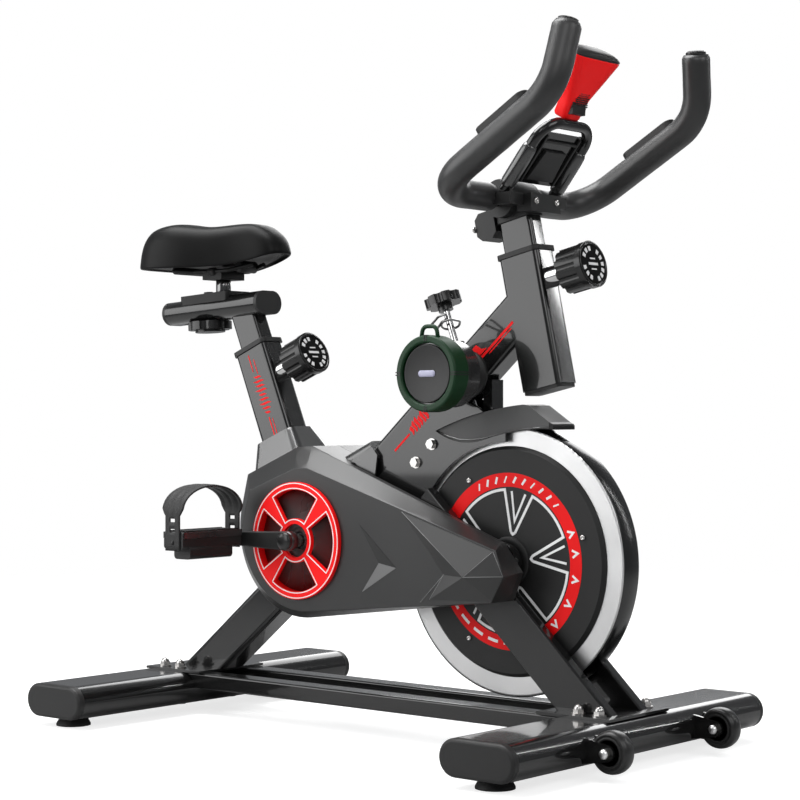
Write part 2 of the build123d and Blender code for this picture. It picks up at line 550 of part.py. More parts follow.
# ---------------------------------------------------------------- pull pins and sleeves
def sleeve(plane, tube, post, flange, pin_hole):
    """Plastic sleeve between a tube and the post that slides in it, with a rim on top."""
    hole = (post[0] + 2 * LINER_GAP, post[1] + 2 * LINER_GAP)
    body = bar(plane.offset(-60), inner(tube), 60, 6) + bar(plane, flange, 7, 9)
    return largest(body - bar(plane.offset(-80), hole, 120, 6.4) - pin_hole)


def pull_pin(prefix, face, reach, stand):
    """Sprung pin in a chromed boss, pulled and turned by a ribbed knob. Returns the boss."""
    start, depth, cup, lip, cavity = 18 + stand, 11.0, 34.0, 9.0, 16.5
    boss = extrude(face * Circle(15), amount=start - 8)
    boss += extrude(face.offset(start - 8) * Circle(12), amount=6)
    boss += extrude(face * Circle(8.9), amount=-6)
    boss -= extrude(face.offset(-40) * Circle(PIN_R + FIT), amount=100)
    keep(prefix + "_pin", extrude(face.offset(-reach) * Circle(PIN_R), amount=reach + start + 20))
    knob = lobed(face.offset(start), 32, 2.6, 12, cup)
    knob += extrude(face.offset(start + cup) * Circle(33), amount=lip)
    knob -= extrude(face.offset(start) * Circle(cavity), amount=depth)
    knob -= extrude(face.offset(start) * Circle(PIN_R + FIT), amount=20.1)
    keep(prefix + "_pin_knob", knob)
    return boss


def pin_holes(axis_point, lean, first, count, size):
    """Holes down the front wall of a post, one for each height."""
    planes = [pin_plane(axis_point, lean, first - PIN_STEP * n, size[0] / 2 - 6) for n in range(count)]
    return [extrude(plane * Circle(PIN_R + 0.6), amount=12) for plane in planes]


def make_pins_and_sleeves():
    seat_face = pin_plane(SEAT_AXIS, SEAT_LEAN, SEAT_PIN, SEAT_TUBE[0] / 2)
    head_face = pin_plane(HEAD_AXIS, HEAD_LEAN, BAR_PIN, HEAD_TUBE[0] / 2)
    seat_hole = extrude(seat_face.offset(-20) * Circle(9), amount=40)
    head_hole = extrude(head_face.offset(-20) * Circle(9), amount=40)
    keep("post_sleeves",
         sleeve(seat_plane(SEAT_TUBE_TOP), SEAT_TUBE, SEAT_POST, (71, 49), seat_hole),
         sleeve(head_plane(0), HEAD_TUBE, BAR_POST, (73, 49), head_hole),
         bar(head_plane(-HEAD_TUBE_LENGTH - 5), inner(HEAD_TUBE), 15, 6))
    keep("pin_bosses", pull_pin("seat", seat_face, SEAT_PIN_REACH, SEAT_PIN_STAND),
         pull_pin("bar", head_face, BAR_PIN_REACH, BAR_PIN_STAND))


# ---------------------------------------------------------------- seat
def slide_plane(along=0.0, above=0.0):
    """Plane on the seat slide's axis that looks up from it."""
    tilt = radians(SLIDE_TILT)
    x = SLIDE_MID[0] + along * cos(tilt) - above * sin(tilt)
    z = SLIDE_MID[1] + along * sin(tilt) + above * cos(tilt)
    return Plane(origin=(x, 0, z), x_dir=(cos(tilt), 0, sin(tilt)), z_dir=(-sin(tilt), 0, cos(tilt)))


def slide_bar(start, length, grow=0.0):
    """Flat-oval bar along the slide's axis."""
    base = slide_plane(start)
    across = Plane(origin=base.origin, x_dir=(0, 1, 0), z_dir=base.x_dir)
    return extrude(across * SlotOverall(SLIDE_WIDTH + 2 * grow, SLIDE_HEIGHT + 2 * grow), amount=length)


def make_seat_post():
    half, top, length = SLIDE_LENGTH / 2, 118.0, 300.0
    tube = slide_bar(-half, SLIDE_LENGTH) - slide_bar(-half, SLIDE_LENGTH, -2)
    slot = extrude(slide_plane(CARRIAGE_BOLT - 8) * SlotOverall(95, 13), amount=60, both=True)
    keep("seat_slide", largest(tube - slot))
    caps = [slide_bar(half, 6) + slide_bar(half - 8, 8, -2),
            slide_bar(-half - 6, 6) + slide_bar(-half, 8, -2)]
    keep("seat_slide_caps", *caps)
    post = bar(seat_plane(top - length), SEAT_POST, length, 6) - slide_bar(-half, SLIDE_LENGTH)
    post -= bar(seat_plane(top - length - 1), inner(SEAT_POST), length - 14, 4)
    for hole in pin_holes(SEAT_AXIS, SEAT_LEAN, SEAT_PIN + PIN_STEP, 7, SEAT_POST):
        post -= hole
    keep("seat_post", post.solids().sort_by(SortBy.VOLUME)[-1])


def make_carriage():
    """Saddle-shaped block on the slide with the seat stem, clamped by a bolt and knob below."""
    surface, gap = SLIDE_HEIGHT / 2, 0.4
    plate = bar(slide_plane(-12, 5), (108, 54), surface + gap, 6) - slide_bar(-150, 300, gap)
    stem = Pos(STEM_X, 0, (STEM_TOP + 640) / 2) * Cylinder(STEM_R, STEM_TOP - 640) - slide_bar(-150, 300, 3)
    bolt = extrude(slide_plane(CARRIAGE_BOLT, -surface - 12) * Circle(PIN_R), amount=2 * surface + 22)
    bolt += extrude(slide_plane(CARRIAGE_BOLT, surface + 5.4) * RegularPolygon(8, 6), amount=5)
    keep("seat_carriage", largest(plate + stem - bolt), bolt)
    under = slide_plane(CARRIAGE_BOLT, -surface - gap)
    knob = lobed(under, 35, 5, 6, -13) + extrude(under.offset(-13) * Circle(24), amount=-4)
    keep("carriage_knob", knob - extrude(under.offset(5) * Circle(PIN_R + FIT), amount=-16.8))


def make_saddle():
    nose, rear = SADDLE_NOSE, SADDLE_REAR
    edge = [(nose, 0), (nose - 20, 26), (-300, 40), (-360, 64),
            (-425, 92), (-470, 92), (-497, 62), (rear, 0)]
    other = [(x, -y) for x, y in edge[::-1]]
    plan = make_face([*Spline(*edge).edges(), *Spline(*other).edges()])
    top = Spline((nose, 726), (nose - 18, 756), (-305, 773), (-350, 768),
                 (-400, 772), (-455, 772), (rear, 745))
    base = Polyline((rear, 745), (rear, 707), (-365, 703.5), (-300, 713), (nose, 724), (nose, 726))
    side = make_face([*top.edges(), *base.edges()])
    keep("saddle", largest(extrude(plan, amount=900) & prism(side, -120, 120)))
    rails = []
    for sign in (-1, 1):
        path = Polyline((-450, sign * 36, 700.5), (-415, sign * 24, 697.5), (-340, sign * 24, 697.5),
                        (-296, sign * 12, 706))
        rails.append(sweep(Plane(origin=path @ 0, z_dir=path % 0) * Circle(3.5), path=path,
                           transition=Transition.ROUND))
    clamp = box((STEM_X - 21, STEM_X + 21), (-26, 26), (684, 698))
    clamp -= Pos(STEM_X, 0, 690) * Cylinder(STEM_R + 2, 60)
    keep("saddle_frame", clamp + rails[0] + rails[1])


# ---------------------------------------------------------------- handlebar
def bar_corners(sign):
    return [(x, sign * y, z) for x, y, z in (BAR_END, BAR_ELBOW, BAR_CORNER)]


def swept(path, radius):
    return sweep(Plane(origin=path @ 0, z_dir=path % 0) * Circle(radius), path=path)


def bar_path():
    """Centre line of the handlebar, from the right grip's end to the left one's."""
    points = bar_corners(-1) + bar_corners(1)[::-1]
    return FilletPolyline(*points, radius=[ELBOW_BEND, CORNER_BEND, CORNER_BEND, ELBOW_BEND])


def grip_path(sign):
    inside = (BAR_CORNER[0], sign * GRIP_INNER_Y, BAR_CORNER[2])
    return FilletPolyline(*bar_corners(sign), inside, radius=[ELBOW_BEND, CORNER_BEND])


def cross_bar(radius, length):
    return Pos(BAR_CORNER[0], 0, BAR_CORNER[2]) * Rot(90, 0, 0) * Cylinder(radius, length)


def make_handlebar():
    below, above, block = 165, 66, (62, 36)
    clamp = cross_bar(CLAMP_R, CLAMP_WIDTH) + bar(head_plane(52), block, 22, 8)
    post = bar(head_plane(-below), BAR_POST, below + above, 6) - clamp
    post -= bar(head_plane(-below - 5), inner(BAR_POST), below + 50, 4)
    for hole in pin_holes(HEAD_AXIS, HEAD_LEAN, BAR_PIN, 5, BAR_POST):
        post -= hole
    keep("handlebar_post", largest(post))
    tube = swept(bar_path(), BAR_R)
    grips, pads = [], []
    for sign in (-1, 1):
        path = grip_path(sign)
        grips.append(swept(path, GRIP_R) - swept(path, BAR_R))
        tube += extrude(Plane(origin=path @ 0, z_dir=-(path % 0)) * Circle(14), amount=4)
        elbow, corner = (Vector(*point) for point in bar_corners(sign)[1:])
        way = (elbow - corner).normalized()
        up = way.cross(Vector(0, 1, 0)).normalized()
        shelf = Plane(origin=corner + way * PULSE_AT + up * (GRIP_R - 4), x_dir=way, z_dir=up)
        pads.append(largest(extrude(shelf * SlotOverall(94, 24), amount=9) - swept(path, GRIP_R)))
    keep("handlebar", tube)
    keep("foam_grips", *grips)
    keep("pulse_pads", *pads)
    return clamp


def make_console(clamp):
    """Loop and tray between the grips, the monitor on it, and the clamps that hold them."""
    (foot_x, foot_y, foot_z), (crest_x, crest_y, crest_z) = LOOP_FOOT, LOOP_CREST
    points = [(foot_x, -foot_y, foot_z), (crest_x, -crest_y, crest_z), LOOP_CREST, LOOP_FOOT]
    path = FilletPolyline(*points, radius=LOOP_BEND)
    loop = swept(path, LOOP_R)
    rise = atan2(crest_z - foot_z, crest_x - foot_x)
    tray_plane = Plane(origin=((foot_x + crest_x) / 2, 0, (foot_z + crest_z) / 2),
                       x_dir=(cos(rise), 0, sin(rise)), z_dir=(-sin(rise), 0, cos(rise)))
    tray = extrude(tray_plane * RectangleRounded(84, 2 * (foot_y - LOOP_R) + 1, 12), amount=3)
    keep("console_rest", loop + tray)

    grips = [swept(grip_path(sign), GRIP_R) for sign in (-1, 1)]
    bracket = box((238, 262), (-35, 35), (753, 783)) + box((219, 249), (-66, 66), (762, 778))
    bracket -= box((200, 300), (-foot_y - 12, foot_y + 12), (778, 800))
    for cut in (loop, clamp, cross_bar(BAR_R, 200), bar(head_plane(40), (62, 36), 40, 8), *grips):
        bracket -= cut
    rear = chamfer((Rot(0, -HEAD_LEAN, 0) * Box(34, 40, 40)).edges().filter_by(Axis.Y), 8)
    rear = Pos(170, 0, 738) * rear - cross_bar(CLAMP_R + 0.2, CLAMP_WIDTH)
    rear -= bar(head_plane(-20), BAR_POST, 200, 6) + bar(head_plane(50), (63, 37), 30, 8)
    low, high = Vector(306, 0, 901), Vector(341, 0, 963)
    way = (high - low).normalized()
    across = Vector(way.Z, 0, -way.X)
    shell = loft([Plane(origin=low, x_dir=across, z_dir=way) * RectangleRounded(24, 40, 8),
                  Plane(origin=high, x_dir=across, z_dir=way) * RectangleRounded(38, 104, 10)])
    neck = prism(outline((292, 884), (318, 884), (320, 908), (294, 904)), -15, 15) - loop
    neck += ring(crest_x, crest_z, LOOP_R + 4, LOOP_R, -15, 15)
    keep("monitor", shell)
    keep("bar_clamps", largest(clamp - cross_bar(BAR_R, 200)), largest(bracket), largest(rear),
         largest(neck - shell - loop - tray))


# ---------------------------------------------------------------- speaker
def make_speaker():
    x, z = SPEAKER_X, SPEAKER_Z
    tube_face = DOWN_TUBE[1] / 2
    cup = disc(x, z, 34, -tube_face - 3, -tube_face)
    cup += Pos(x, -tube_face - 9, z) * Rot(90, 0, 0) * Cone(33, 14, 12)
    cup += disc(x, z, 14, -46, -tube_face - 14)
    body = disc(x, z, 47, -112, -46)
    body = chamfer(body.edges().filter_by(GeomType.CIRCLE).sort_by(Axis.Y)[-1:], 9)
    body = body - ring(x, z, 60, 43, -113, -88) + disc(x, z, 41, -116, -112)
    rim = ring(x, z, 53.5, 43, -120, -88)
    keep("speaker_cup", cup)
    keep("speaker_body", body)
    keep("speaker_rim", fillet(rim.edges().filter_by(GeomType.CIRCLE), 3))


def main():
    os.makedirs("parts", exist_ok=True)
    make_stabilisers()
    make_feet()
    wheel_brackets, wheel_bolts = make_transport_wheels()
    flanges, studs, nuts = make_flanges()
    make_rails()
    frame = make_frame()
    fork_plates, gusset_bolts = make_fork()
    keep("frame_plates", *flanges, *fork_plates)
    keep("frame_fasteners", *studs, *nuts, *gusset_bolts, *wheel_bolts)
    make_bearings()
    make_flywheel()
    make_cranks()
    make_belt()
    make_guards(frame)
    make_trim()
    keep("frame_brackets", *wheel_brackets, *make_brake(frame))
    make_pins_and_sleeves()
    make_seat_post()
    make_carriage()
    make_saddle()
    make_console(make_handlebar())
    make_speaker()
    for name, shape in PARTS.items():
        export_step(shape, f"parts/{name}.step")


main()
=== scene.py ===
import math

import bmesh
import bpy
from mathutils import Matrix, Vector, noise


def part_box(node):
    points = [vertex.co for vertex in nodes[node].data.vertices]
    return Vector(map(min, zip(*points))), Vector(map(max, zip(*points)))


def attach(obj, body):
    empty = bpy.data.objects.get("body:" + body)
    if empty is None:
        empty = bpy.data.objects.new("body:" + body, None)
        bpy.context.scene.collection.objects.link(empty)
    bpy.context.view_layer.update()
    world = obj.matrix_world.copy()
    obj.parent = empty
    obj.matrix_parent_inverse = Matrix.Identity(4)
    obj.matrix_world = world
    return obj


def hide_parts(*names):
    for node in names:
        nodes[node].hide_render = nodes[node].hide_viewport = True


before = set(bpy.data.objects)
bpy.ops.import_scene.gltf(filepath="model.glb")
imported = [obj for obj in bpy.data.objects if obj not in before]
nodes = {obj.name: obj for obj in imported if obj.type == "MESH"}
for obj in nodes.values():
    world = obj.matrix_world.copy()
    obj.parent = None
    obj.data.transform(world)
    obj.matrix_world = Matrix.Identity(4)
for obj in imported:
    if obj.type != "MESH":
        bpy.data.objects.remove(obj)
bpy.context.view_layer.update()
scene = bpy.context.scene
MM = 0.001

SIDES = ((-1, "right"), (1, "left"))

# Places and sizes as the CAD has them, in millimetres and degrees: centres are (x, z), and faces are a
# distance from the middle plane.
FLYWHEEL = (215.0, 264.5)
COVER_FACE = 24.0
RIM_RADIUS, RIM_HALF_WIDTH = 190.0, 17.0
CRANK = (-130.0, 283.0)
CRANK_LENGTH, ARM_FACE = 104.0, 117.0
PEDAL_NEAR, PEDAL_FAR, PEDAL_TOP = 122.0, 241.0, 298.0
GUARD_FACE, TRIM_FACE = 88.0, 94.0
SPEAKER = (142.0, 527.5)
SPEAKER_FACE, SPEAKER_BACK = 116.0, 90.0
TUBE_SIDE = 22.0
SEAT_LEAN, HEAD_LEAN, DOWN_LEAN = 22.5, 12.2, -48.5
STEM_X, STEM_RADIUS = -373.5, 11.5
GRIP_RADIUS, GRIP_BEND = 20.0, 71.0
GRIP_END, GRIP_ELBOW, GRIP_CORNER = (409.4, 155.3, 978.0), (400.1, 176.0, 888.8), (203.1, 171.6, 774.0)


# --- materials
NOISE_SPAN = (0.3, 0.7)  # the part of its range that a noise texture really fills


def node_tree(name):
    made = bpy.data.materials.new(name)
    made.use_nodes = True
    tree = made.node_tree
    tree.nodes.clear()
    out = tree.nodes.new("ShaderNodeOutputMaterial")
    shader = tree.nodes.new("ShaderNodeBsdfPrincipled")
    tree.links.new(shader.outputs[0], out.inputs[0])
    coords = tree.nodes.new("ShaderNodeTexCoord").outputs["Object"]
    return made, tree, shader, coords


def noise_node(tree, coords, scale, detail):
    made = tree.nodes.new("ShaderNodeTexNoise")
    made.inputs["Scale"].default_value = scale
    made.inputs["Detail"].default_value = detail
    tree.links.new(coords, made.inputs["Vector"])
    return made.outputs["Fac"]


def ramp_node(tree, value, low, high):
    ramp = tree.nodes.new("ShaderNodeValToRGB")
    for stop, place, colour in zip(ramp.color_ramp.elements, NOISE_SPAN, (low, high)):
        stop.position = place
        stop.color = (*colour, 1)
    tree.links.new(value, ramp.inputs[0])
    return ramp.outputs[0]


def range_node(tree, value, low, high):
    spread = tree.nodes.new("ShaderNodeMapRange")
    spread.inputs["From Min"].default_value, spread.inputs["From Max"].default_value = NOISE_SPAN
    spread.inputs["To Min"].default_value = low
    spread.inputs["To Max"].default_value = high
    tree.links.new(value, spread.inputs["Value"])
    return spread.outputs[0]


def bump_node(tree, height, strength, depth, before=None):
    bump = tree.nodes.new("ShaderNodeBump")
    bump.inputs["Strength"].default_value = strength
    bump.inputs["Distance"].default_value = depth * MM
    tree.links.new(height, bump.inputs["Height"])
    if before:
        tree.links.new(before, bump.inputs["Normal"])
    return bump.outputs[0]


def finish_material(name, low, high, rough, patch=9, metallic=0.0, coat=0.0, coat_rough=0.03,
                    grain=900, grain_strength=0.1, grain_depth=0.1, cells=0, cell_depth=0.15,
                    sheen=0.0, specular=0.5):
    """Principled material: colour and roughness vary in patches, with a fine grain on top."""
    made, tree, shader, coords = node_tree(name)
    patches = noise_node(tree, coords, patch, 4.0)
    tree.links.new(ramp_node(tree, patches, low, high), shader.inputs["Base Color"])
    tree.links.new(range_node(tree, patches, *rough), shader.inputs["Roughness"])
    normal = bump_node(tree, noise_node(tree, coords, grain, 2.0), grain_strength, grain_depth)
    if cells:
        voronoi = tree.nodes.new("ShaderNodeTexVoronoi")
        voronoi.feature = "DISTANCE_TO_EDGE"
        voronoi.inputs["Scale"].default_value = cells
        tree.links.new(coords, voronoi.inputs["Vector"])
        normal = bump_node(tree, voronoi.outputs["Distance"], 0.5, cell_depth, normal)
    tree.links.new(normal, shader.inputs["Normal"])
    shader.inputs["Metallic"].default_value = metallic
    shader.inputs["Specular IOR Level"].default_value = specular
    shader.inputs["Coat Weight"].default_value = coat
    shader.inputs["Coat Roughness"].default_value = coat_rough
    shader.inputs["Sheen Weight"].default_value = sheen
    shader.inputs["Sheen Roughness"].default_value = 0.4
    return made


def turned_material(name, low, high, rough, pitch, axis_point, strength):
    """Metal turned on a lathe: fine rings round an axis along Y."""
    made, tree, shader, coords = node_tree(name)
    mapping = tree.nodes.new("ShaderNodeMapping")
    mapping.inputs["Location"].default_value = (-axis_point[0] * MM, 0, -axis_point[1] * MM)
    tree.links.new(coords, mapping.inputs["Vector"])
    rings = tree.nodes.new("ShaderNodeTexWave")
    rings.wave_type = "RINGS"
    rings.rings_direction = "Y"
    rings.inputs["Scale"].default_value = 1 / (pitch * MM) / math.pi
    rings.inputs["Distortion"].default_value = 1.5
    rings.inputs["Detail"].default_value = 3
    tree.links.new(mapping.outputs[0], rings.inputs["Vector"])
    patches = noise_node(tree, coords, 14, 4.0)
    tree.links.new(ramp_node(tree, patches, low, high), shader.inputs["Base Color"])
    tree.links.new(range_node(tree, rings.outputs["Fac"], *rough), shader.inputs["Roughness"])
    tree.links.new(bump_node(tree, rings.outputs["Fac"], strength, 0.05), shader.inputs["Normal"])
    shader.inputs["Metallic"].default_value = 1.0
    return made


def grey(value, warm=0.0):
    return (value * (1 + warm), value, value * (1 - warm))


looks = {
    "frame_paint": finish_material("gloss_black_paint", grey(0.005), grey(0.008), (0.20, 0.27), coat=0.6,
                                   coat_rough=0.05, grain=500, grain_strength=0.03, grain_depth=0.03,
                                   specular=0.2),
    "guard_plastic": finish_material("guard_shell_plastic", grey(0.016), grey(0.022), (0.36, 0.44),
                                     coat=0.12, coat_rough=0.2, grain=1400, grain_strength=0.12,
                                     specular=0.32),
    "black_plastic": finish_material("moulded_black_plastic", grey(0.008), grey(0.013), (0.44, 0.56),
                                     grain=1600, grain_strength=0.35, specular=0.35),
    "knob_plastic": finish_material("glossy_knob_plastic", grey(0.006), grey(0.010), (0.24, 0.34),
                                    coat=0.2, coat_rough=0.1, grain=1200, grain_strength=0.10,
                                    specular=0.3),
    "red_plastic": finish_material("gloss_red_plastic", (0.90, 0.005, 0.006), (0.98, 0.007, 0.008),
                                   (0.42, 0.52), coat=0.06, coat_rough=0.15, grain=1300,
                                   grain_strength=0.08, specular=0.15),
    "rubber": finish_material("black_rubber", grey(0.010), grey(0.016), (0.50, 0.66), grain=1200,
                              grain_strength=0.4, specular=0.35),
    "foam": finish_material("closed_cell_foam", grey(0.019), grey(0.026), (0.34, 0.44), grain=1500,
                            grain_strength=0.4, cells=1300, cell_depth=0.08, sheen=0.04, specular=0.5),
    "saddle_cover": finish_material("grained_saddle_cover", grey(0.002), grey(0.005), (0.34, 0.44),
                                    grain=700, grain_strength=0.2, cells=620, cell_depth=0.06,
                                    sheen=0.01, specular=0.10),
    "chrome": finish_material("bright_chrome", grey(0.40), grey(0.50), (0.06, 0.12), metallic=1.0,
                              grain=900, grain_strength=0.03),
    "zinc": finish_material("zinc_plate", grey(0.40, 0.02), grey(0.52, 0.03), (0.18, 0.32), metallic=1.0,
                            grain=900, grain_strength=0.12),
    "rim_steel": turned_material("turned_rim_steel", grey(0.49), grey(0.56), (0.32, 0.46), 0.9,
                                 FLYWHEEL, 0.25),
    "disc_black": finish_material("satin_black_disc", grey(0.007), grey(0.011), (0.46, 0.56),
                                  grain=800, grain_strength=0.12, specular=0.28),
    "dark_steel": finish_material("blackened_steel", grey(0.010), grey(0.020), (0.24, 0.38), metallic=0.3,
                                  coat=0.4, coat_rough=0.1, grain=700, grain_strength=0.15),
    "speaker_rubber": finish_material("green_speaker_rubber", (0.002, 0.022, 0.006),
                                      (0.003, 0.031, 0.009), (0.42, 0.54), grain=1100,
                                      grain_strength=0.3, specular=0.25),
    "felt": finish_material("wool_felt", grey(0.16, 0.06), grey(0.26, 0.06), (0.85, 0.95), patch=160,
                            grain=1500, grain_strength=0.9, sheen=0.4),
}
gloss_shell = finish_material("gloss_shell_plastic", grey(0.018), grey(0.026), (0.24, 0.32), coat=0.8,
                              coat_rough=0.08, grain=900, grain_strength=0.05)
# Light grey, nearly unreflecting plastic for the flywheel cover: the grey is a painted reflection
# standing in for the gloss black shell's sheen.
cover_painted_reflection = finish_material("wheel_cover_plastic", grey(0.085), grey(0.100), (0.42, 0.52), grain=900,
                              grain_strength=0.08, specular=0.08)
dish_plastic = finish_material("crank_dish_plastic", grey(0.055), grey(0.070), (0.22, 0.30), coat=1.0,
                               coat_rough=0.12, grain=900, grain_strength=0.05)
satin_black = finish_material("satin_black_casting", grey(0.003), grey(0.005), (0.34, 0.44), grain=700,
                              grain_strength=0.15, specular=0.2)
# Dark metal for the rim's outer surface: a painted dark reflection on steel that is the same as the rim's
# face.
painted_rim_reflection = finish_material("rim_edge_painted_reflection", grey(0.045), grey(0.065), (0.14, 0.22), metallic=1.0,
                              grain=600, grain_strength=0.05)
bright_zinc = finish_material("bright_zinc_bolt", grey(0.80), grey(0.92), (0.26, 0.36), metallic=1.0,
                              grain=900, grain_strength=0.05)
tyre_rubber = finish_material("polished_tyre_rubber", grey(0.008), grey(0.012), (0.30, 0.40), grain=900,
                              grain_strength=0.12, specular=0.45)
white_print = finish_material("white_print", grey(0.72), grey(0.82), (0.45, 0.55), grain=1200,
                              grain_strength=0.05, specular=0.3)
red_print = finish_material("red_print", (0.70, 0.003, 0.004), (0.80, 0.005, 0.006), (0.45, 0.55),
                            grain=1200, grain_strength=0.05, specular=0.15)
smoked_chrome = finish_material("smoked_chrome", grey(0.11), grey(0.16), (0.10, 0.18), metallic=1.0,
                                grain=900, grain_strength=0.03)
matt_label = finish_material("matt_black_label", grey(0.004), grey(0.007), (0.60, 0.70), grain=1500,
                             grain_strength=0.08, specular=0.06)
# Pale grey for painted highlights: the lines along the guard's facet edges and the lower face of the
# dart.
painted_facet_highlight = finish_material("guard_facet_painted_highlight", grey(0.13), grey(0.17), (0.40, 0.50), grain=1400,
                             grain_strength=0.12)
screen_grey = finish_material("screen_liquid_crystal", (0.11, 0.13, 0.11), (0.14, 0.16, 0.13),
                              (0.14, 0.20), grain=1500, grain_strength=0.05, coat=1.0)
smoke_plastic = finish_material("smoke_grey_plastic", grey(0.013), grey(0.019), (0.36, 0.46),
                                grain=1500, grain_strength=0.2, specular=0.25)
button_plastic = finish_material("lavender_button", (0.34, 0.34, 0.46), (0.42, 0.42, 0.55), (0.35, 0.45),
                                 grain=1500, grain_strength=0.1)

for obj in nodes.values():
    for place in obj.material_slots:
        place.material = looks[place.material.name.split(".")[0]]
for look, names in ((gloss_shell, ("guard_boots", "speaker_body")), (cover_painted_reflection, ("flywheel_cover",)),
                    (satin_black, ("seat_carriage", "saddle_frame")),
                    (tyre_rubber, ("wheel_right", "wheel_left"))):
    for name in names:
        nodes[name].material_slots[0].material = look


def round_edges(obj, width, segments, angle):
    bevel = obj.modifiers.new("bevel", "BEVEL")
    bevel.width = width * MM
    bevel.segments = segments
    bevel.limit_method = "ANGLE"
    bevel.angle_limit = math.radians(angle)


def soften_edges(width, angle, *names):
    """Welds a CAD node's faces and rounds its sharp edges, as the pressed or moulded part has them."""
    for name in names:
        weld = nodes[name].modifiers.new("weld", "WELD")
        weld.merge_threshold = 0.02 * MM
        round_edges(nodes[name], width, 2, angle)


# --- mesh helpers
def add_mesh(name, verts, faces, body, slot, look=None, smooth=True, solid=0.0, subdiv=0, bevel=0.0):
    """Mesh from millimetre points that rides on a body; it has its slot's look unless given another."""
    data = bpy.data.meshes.new(name)
    data.from_pydata([tuple(c * MM for c in v) for v in verts], [], faces)
    bm = bmesh.new()
    bm.from_mesh(data)
    bmesh.ops.recalc_face_normals(bm, faces=bm.faces)
    bm.to_mesh(data)
    bm.free()
    data.polygons.foreach_set("use_smooth", [smooth] * len(data.polygons))
    data.materials.append(look or looks[slot])
    obj = bpy.data.objects.new(name, data)
    scene.collection.objects.link(obj)
    if solid:
        shell = obj.modifiers.new("solid", "SOLIDIFY")
        shell.thickness = solid * MM
        shell.offset = 0
    if bevel:
        round_edges(obj, bevel, 3, 35)
    if subdiv:
        finer = obj.modifiers.new("subdivision", "SUBSURF")
        finer.levels = finer.render_levels = subdiv
    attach(obj, body)
    return obj


class Parts:
    """Verts and faces gathered from several shapes for one mesh."""

    def __init__(self):
        self.verts = []
        self.faces = []

    def add(self, verts, faces):
        start = len(self.verts)
        self.verts += [tuple(v) for v in verts]
        self.faces += [[i + start for i in face] for face in faces]

    def loft(self, rings):
        """Skin through rings that have the same number of points, closed at both ends."""
        count = len(rings[0])
        last = count * (len(rings) - 1)
        faces = []
        for a in range(0, last, count):
            b = a + count
            for i in range(count):
                j = (i + 1) % count
                faces.append([a + i, a + j, b + j, b + i])
        faces.append(list(range(count))[::-1])
        faces.append([last + i for i in range(count)])
        self.add([point for ring in rings for point in ring], faces)

    def slab(self, points, place, low, high):
        """A flat outline raised from low to high above the plane that place maps it to."""
        self.loft([[place(u, v, low) for u, v in points], [place(u, v, high) for u, v in points]])

    def make(self, name, *args, **kwargs):
        return add_mesh(name, self.verts, self.faces, *args, **kwargs)


def rectangle(u0, v0, u1, v1):
    return [(u0, v0), (u1, v0), (u1, v1), (u0, v1)]


def around(place, centre):
    """The same plane with its origin moved to a centre in it."""
    return lambda u, v, h: place(centre[0] + u, centre[1] + v, h)


def side_place(y, sign=-1):
    """Maps (x, z, height) to a plane that faces the right (sign -1) or the left (sign 1)."""
    return lambda u, v, h: (u, sign * (y + h), v)


def upward(u, v, h):
    """Flat on the ground plane, raised along Z."""
    return (u, v, h)


def crossways(u, v, h):
    """Upright plane along the bike, raised along Y."""
    return (u, h, v)


def plane_place(origin, across, up):
    """Maps (u, v, height) to a plane: u goes across, v up and the height out of it."""
    origin, across, up = Vector(origin), Vector(across).normalized(), Vector(up).normalized()
    out = across.cross(up)
    return lambda u, v, h: tuple(origin + across * u + up * v + out * h)


def polar(centre, radius, angle):
    """Point round a centre, with its angle in degrees."""
    a = math.radians(angle)
    return (centre[0] + radius * math.cos(a), centre[1] + radius * math.sin(a))


def arc(radius, start, end, centre=(0, 0), step=4.0):
    count = max(2, int(abs(end - start) / step) + 1)
    return [polar(centre, radius, start + (end - start) * i / (count - 1)) for i in range(count)]


def band(centre, inner, outer, start, end):
    return arc(outer, start, end, centre) + arc(inner, end, start, centre)


def ring_band(parts, centre, inner, outer, place, low, high, pieces=4):
    """A whole ring as adjoining bands."""
    for n in range(pieces):
        parts.slab(band(centre, inner, outer, 360 / pieces * n, 360 / pieces * (n + 1)), place, low, high)


def stroke(parts, path, width, place, low, high):
    """Line of an even width through points, with mitred corners."""
    left, right = [], []
    for i, (x, z) in enumerate(path):
        before = Vector(path[max(i - 1, 0)])
        after = Vector(path[min(i + 1, len(path) - 1)])
        here = Vector((x, z))
        ways = [w.normalized() for w in (here - before, after - here) if w.length > 1e-6]
        way = sum(ways, Vector((0, 0))).normalized()
        side = Vector((-way.y, way.x))
        reach = width / 2 / max(0.35, side.dot(Vector((-ways[0].y, ways[0].x))))
        left.append(here + side * reach)
        right.append(here - side * reach)
    for i in range(len(path) - 1):
        quad = [left[i], left[i + 1], right[i + 1], right[i]]
        parts.slab([tuple(q) for q in quad], place, low, high)


def rounded(points, radius, steps=10):
    """Points with each inner corner turned on an arc."""
    points = [Vector(p) for p in points]
    made = [points[0]]
    for a, b, c in zip(points, points[1:], points[2:]):
        back, on = (a - b).normalized(), (c - b).normalized()
        half = back.angle(on) / 2
        reach = min(radius / math.tan(half), (a - b).length * 0.49, (c - b).length * 0.49)
        bend = reach * math.tan(half)
        centre = b + (back + on).normalized() * (bend / math.sin(half))
        start, end = b + back * reach - centre, b + on * reach - centre
        whole = start.angle(end)
        for i in range(steps + 1):
            t = i / steps
            made.append(centre + (start * math.sin((1 - t) * whole) + end * math.sin(t * whole))
                        / math.sin(whole))
    return made + [points[-1]]


def resample(path, step):
    """The same line with points an even step apart, and their distances from its start."""
    made, total, left = [path[0]], 0.0, step
    spots = [0.0]
    for a, b in zip(path, path[1:]):
        length = (b - a).length
        if length < 1e-6:
            continue
        place = left
        while place < length:
            made.append(a.lerp(b, place / length))
            spots.append(total + place)
            place += step
        left = place - length
        total += length
    made.append(path[-1])
    spots.append(total)
    return made, spots


